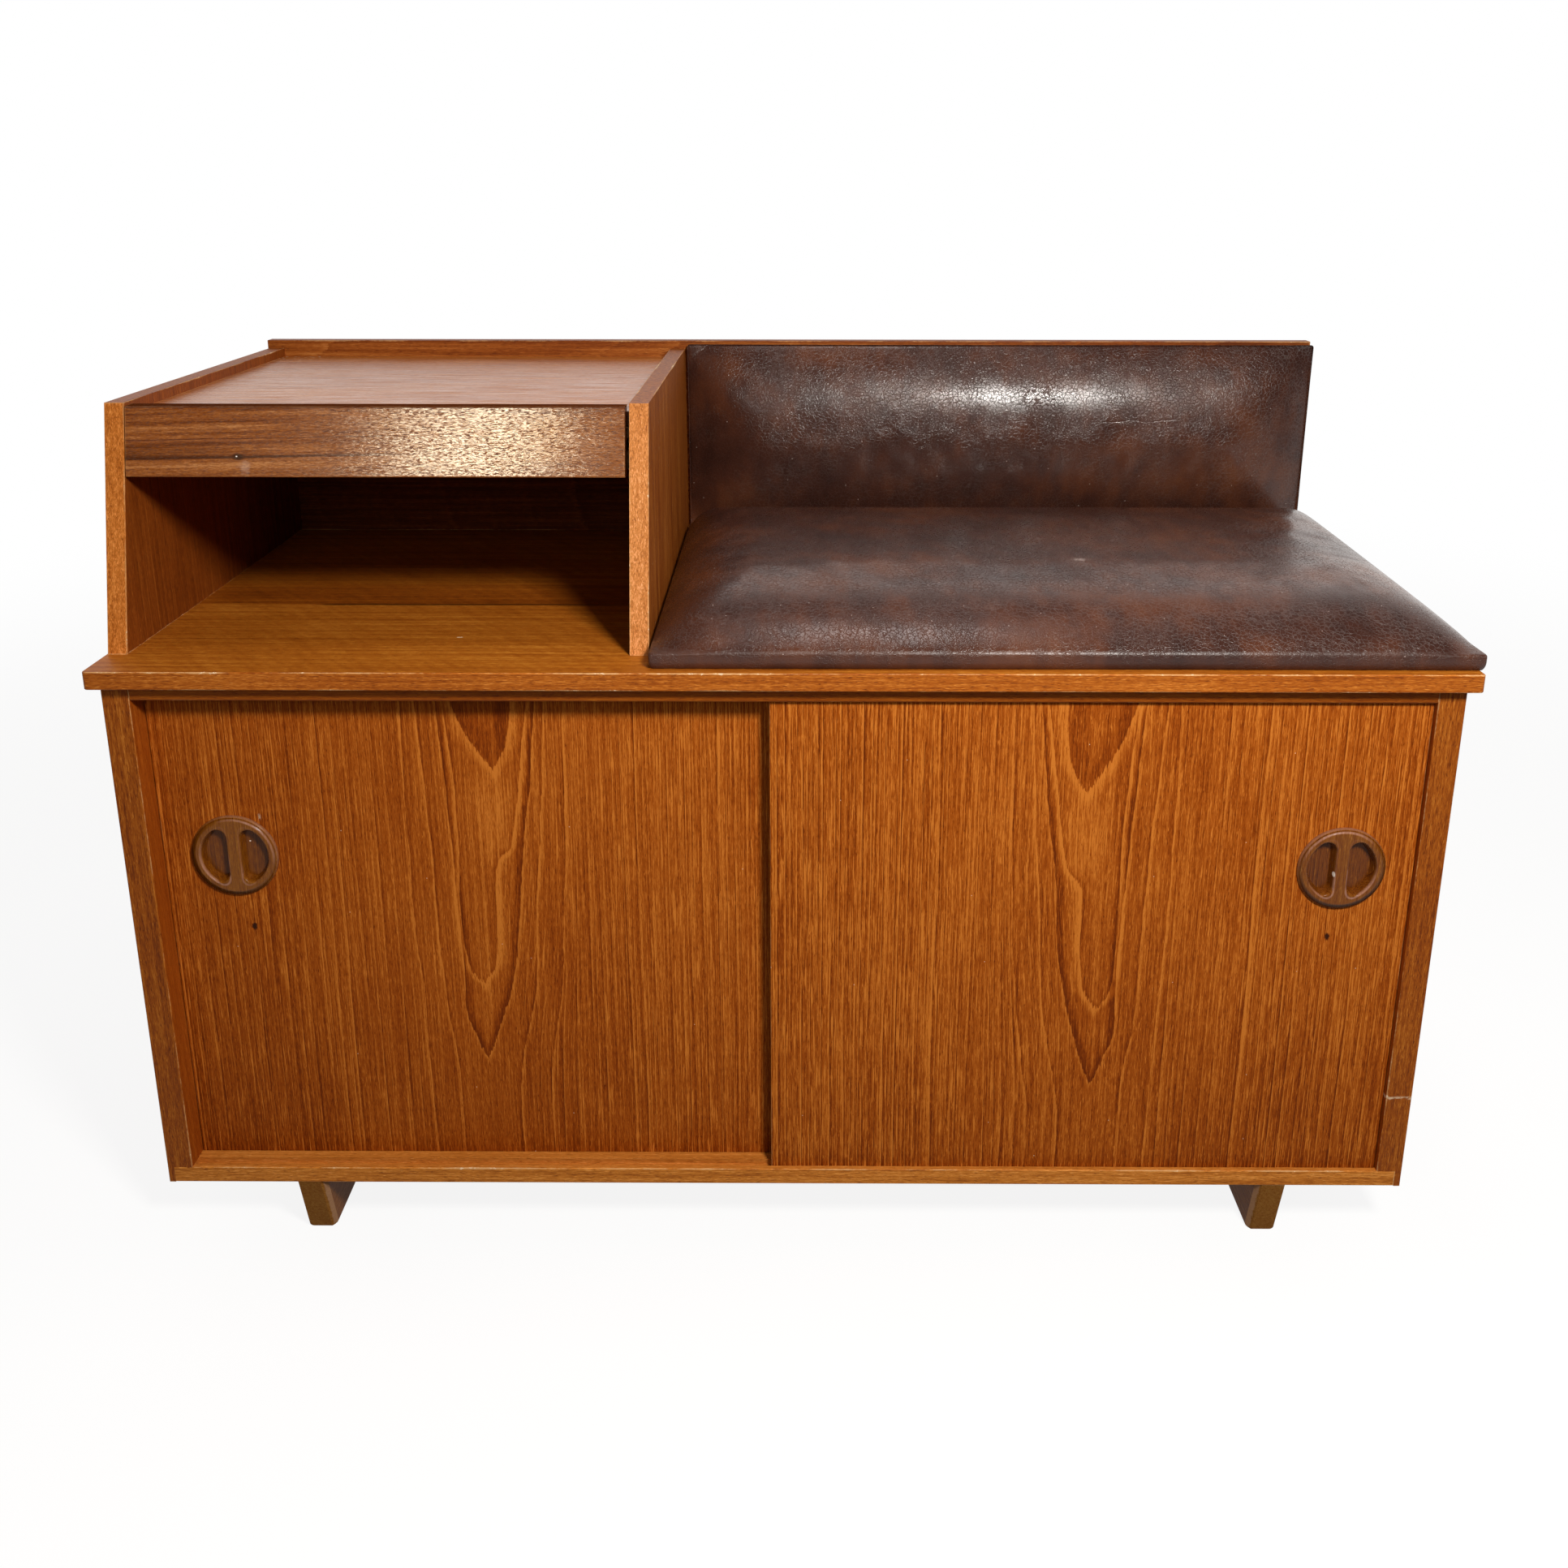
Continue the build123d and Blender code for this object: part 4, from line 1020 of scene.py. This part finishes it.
@dataclass
class Pad:
    """Padded panel on a plywood base: flat back, upright edge, rolled lip and a mitred crown.

    It is built on its back: s runs along the bench, t across the panel and h out of it.
    """

    name: str
    length: float
    width: float
    edge: float  # height of the upright edge
    crown: float  # rise from the edge to the middle
    reach: float  # distance from the outline at which the crown is level
    power: float  # how early the crown rises
    steepen: float  # how much faster the ends rise at the far side
    corner: float  # radius of the corners
    place: object  # point of the bench for an (s, t, h) place

    draw = 0.3 * MM  # how far the sides pull in between the corners
    tuck = 1.6 * MM  # how far the underside is tucked in
    tuck_height = 5 * MM
    roll = 1.3 * MM  # how far the lip is rolled down, and over what width
    roll_width = 0.9 * MM
    soft = 12 * MM  # how widely two sides blend at a mitre
    ring_heights = (7 * MM, 4 * MM, 1.6 * MM)

    def fall(self, s, t):
        """Distance in from the pad's outline, blended where two sides meet.

        Towards the far side, the two ends count for more, so the crown rises faster there.
        """
        gain = 1 + self.steepen * t / self.width
        sides = (s * gain, (self.length - s) * gain, t, self.width - t)
        total = sum(np.exp(-side / self.soft) for side in sides)
        return np.maximum(-self.soft * np.log(total), 0.0)

    def height(self, s, t):
        """Crown that rises from the rolled lip and levels out."""
        level = 1 - (1 - np.minimum(self.fall(s, t) / self.reach, 1.0)) ** self.power
        nearest = np.minimum(np.minimum(s, self.length - s), np.minimum(t, self.width - t))
        return self.edge + self.crown * level - self.roll * np.exp(-nearest / self.roll_width)

    def outline(self, s, t):
        """Round the four corners and pull the sides in between them."""
        r = self.corner
        a = np.clip(r - s, 0, None) - np.clip(s - (self.length - r), 0, None)
        b = np.clip(r - t, 0, None) - np.clip(t - (self.width - r), 0, None)
        turn = np.maximum(abs(a), abs(b)) / np.maximum(np.hypot(a, b), 1e-9)
        turn = np.where(np.hypot(a, b) > 0, turn, 1.0)
        down = np.sin(np.pi * t / self.width) ** 0.5 * (1 - 2 * s / self.length)
        across = np.sin(np.pi * s / self.length) ** 0.5 * (1 - 2 * t / self.width)
        return s + a * (1 - turn) + self.draw * down, t + b * (1 - turn) + self.draw * across

    def layers(self):
        """Grids of points: two of grid places, the crown on top and the tucked-in underside."""
        s, t = np.meshgrid(grid_places(self.length), grid_places(self.width), indexing="ij")
        a, b = self.outline(s, t)
        top = np.stack([a, b, self.height(s, t)], axis=-1)
        inner = [side / 2 + (p - side / 2) * (1 - 2 * self.tuck / side)
                 for p, side in ((a, self.length), (b, self.width))]
        return s, t, top, np.stack([*inner, np.zeros_like(a)], axis=-1)

    def ring(self, made, loop, top, underside, height):
        """Vertices round the pad's side at one height."""
        inward = max(1 - height / self.tuck_height, 0.0) ** 2
        vertices = []
        for i, j in loop:
            a, b = top[i, j, :2] + (underside[i, j, :2] - top[i, j, :2]) * inward
            vertices.append(made.verts.new(self.place(a, b, height)))
        return vertices

    def mesh(self):
        """Closed quad mesh of the pad. free keeps the points that the cover may lift."""
        s, t, top, underside = self.layers()
        columns, rows = s.shape[0] - 1, s.shape[1] - 1
        made = bmesh.new()
        upper, lower = [[[made.verts.new(self.place(*p)) for p in row] for row in layer]
                        for layer in (top, underside)]
        for i in range(columns):
            for j in range(rows):
                made.faces.new((upper[i][j], upper[i + 1][j], upper[i + 1][j + 1], upper[i][j + 1]))
                made.faces.new((lower[i][j], lower[i][j + 1], lower[i + 1][j + 1], lower[i + 1][j]))
        loop = [(i, 0) for i in range(columns)] + [(columns, j) for j in range(rows)]
        loop += [(columns - i, rows) for i in range(columns)] + [(0, rows - j) for j in range(rows)]
        rings = [[upper[i][j] for i, j in loop]]
        rings += [self.ring(made, loop, top, underside, height) for height in self.ring_heights]
        rings += [[lower[i][j] for i, j in loop]]
        for above, below in zip(rings, rings[1:]):
            for k in range(len(loop)):
                m = (k + 1) % len(loop)
                made.faces.new((below[k], below[m], above[m], above[k]))
        bmesh.ops.recalc_face_normals(made, faces=made.faces)
        made.verts.index_update()
        inner = [(i, j) for i in range(1, columns) for j in range(1, rows)]
        self.free = [(upper[i][j].index, s[i, j], t[i, j]) for i, j in inner]
        return self.piece(made)

    def piece(self, made):
        """Object of the finished mesh, shaded smooth."""
        data = bpy.data.meshes.new(self.name)
        made.to_mesh(data)
        made.free()
        for polygon in data.polygons:
            polygon.use_smooth = True
        piece = bpy.data.objects.new(self.name, data)
        bpy.context.scene.collection.objects.link(piece)
        return piece


SETTLE_FRAMES = 20


def cover(piece):
    """Cloth modifier of a slack cover under pressure, without gravity."""
    cloth = piece.modifiers.new("cover", "CLOTH")
    settings = cloth.settings
    settings.quality = 6
    settings.mass = 0.2
    settings.tension_stiffness = 25
    settings.compression_stiffness = 12
    settings.shear_stiffness = 10
    settings.bending_stiffness = 2.0
    settings.vertex_group_mass = "held"
    settings.pin_stiffness = 1.0
    settings.use_pressure = True
    settings.uniform_pressure_force = 0.8
    settings.shrink_min = -0.002
    settings.effector_weights.gravity = 0.0
    cloth.point_cache.frame_start = 1
    cloth.point_cache.frame_end = SETTLE_FRAMES
    return cloth


def inflate(piece, pad, most):
    """Let the cover puff and crease as cloth. Lip and underside are held, and no point may
    move further than the given distance."""
    held = piece.vertex_groups.new(name="held")
    held.add(list(range(len(piece.data.vertices))), 1.0, "REPLACE")
    for index, s, t in pad.free:
        loose = float(np.clip(pad.fall(s, t) / (70 * MM) - 0.10, 0.0, 1.0)) ** 1.5
        held.add([index], 1.0 - loose, "REPLACE")
    rest = np.array([vertex.co for vertex in piece.data.vertices])
    cloth = cover(piece)
    scene = bpy.context.scene
    for number in range(1, SETTLE_FRAMES + 1):
        scene.frame_set(number)
    shown = piece.evaluated_get(bpy.context.evaluated_depsgraph_get()).to_mesh()
    moved = np.array([vertex.co for vertex in shown.vertices]) - rest
    piece.modifiers.remove(cloth)
    reach = np.linalg.norm(moved, axis=1)
    moved *= np.minimum(1.0, most / np.maximum(reach, 1e-9))[:, None]
    piece.data.vertices.foreach_set("co", (rest + moved).ravel())
    piece.data.update()
    scene.frame_set(1)


def seat_place(s, t, h):
    return (pad_low.x + s, pad_low.y + t, pad_low.z + h)


def back_place(s, t, h):
    return (back_pad_low.x + s, back_pad_high.y - h, back_pad_low.z + t)


def upholstery():
    skin = leatherette()
    seat = Pad("seat_upholstery", length=pad_high.x - pad_low.x + 3.3 * MM,
               width=pad_high.y - pad_low.y, edge=12 * MM, crown=31 * MM, reach=110 * MM,
               power=3.0, steepen=1.4, corner=3.0 * MM, place=seat_place)
    back = Pad("backrest_upholstery", length=back_pad_high.x - back_pad_low.x + 4 * MM,
               width=back_pad_high.z - back_pad_low.z + 1 * MM, edge=5 * MM, crown=30 * MM,
               reach=90 * MM, power=2.2, steepen=0.0, corner=2.5 * MM, place=back_place)
    for pad, node in ((seat, "seat_cushion"), (back, "backrest_cushion")):
        piece = pad.mesh()
        inflate(piece, pad, 2.5 * MM)
        piece.data.materials.append(skin)
        smooth = piece.modifiers.new("round", "SUBSURF")
        smooth.levels = 1
        smooth.render_levels = 1
        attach(piece, "root")
        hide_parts(node)


# ---- the scene
camera()
world()
stage()
lamps()
dress_doors()
dress_cabinet()
dress_phone_unit()
dress_pulls()
dress_hidden_wood()
dress_steel()
upholstery()
bpy.context.scene.view_settings.view_transform = "Standard"
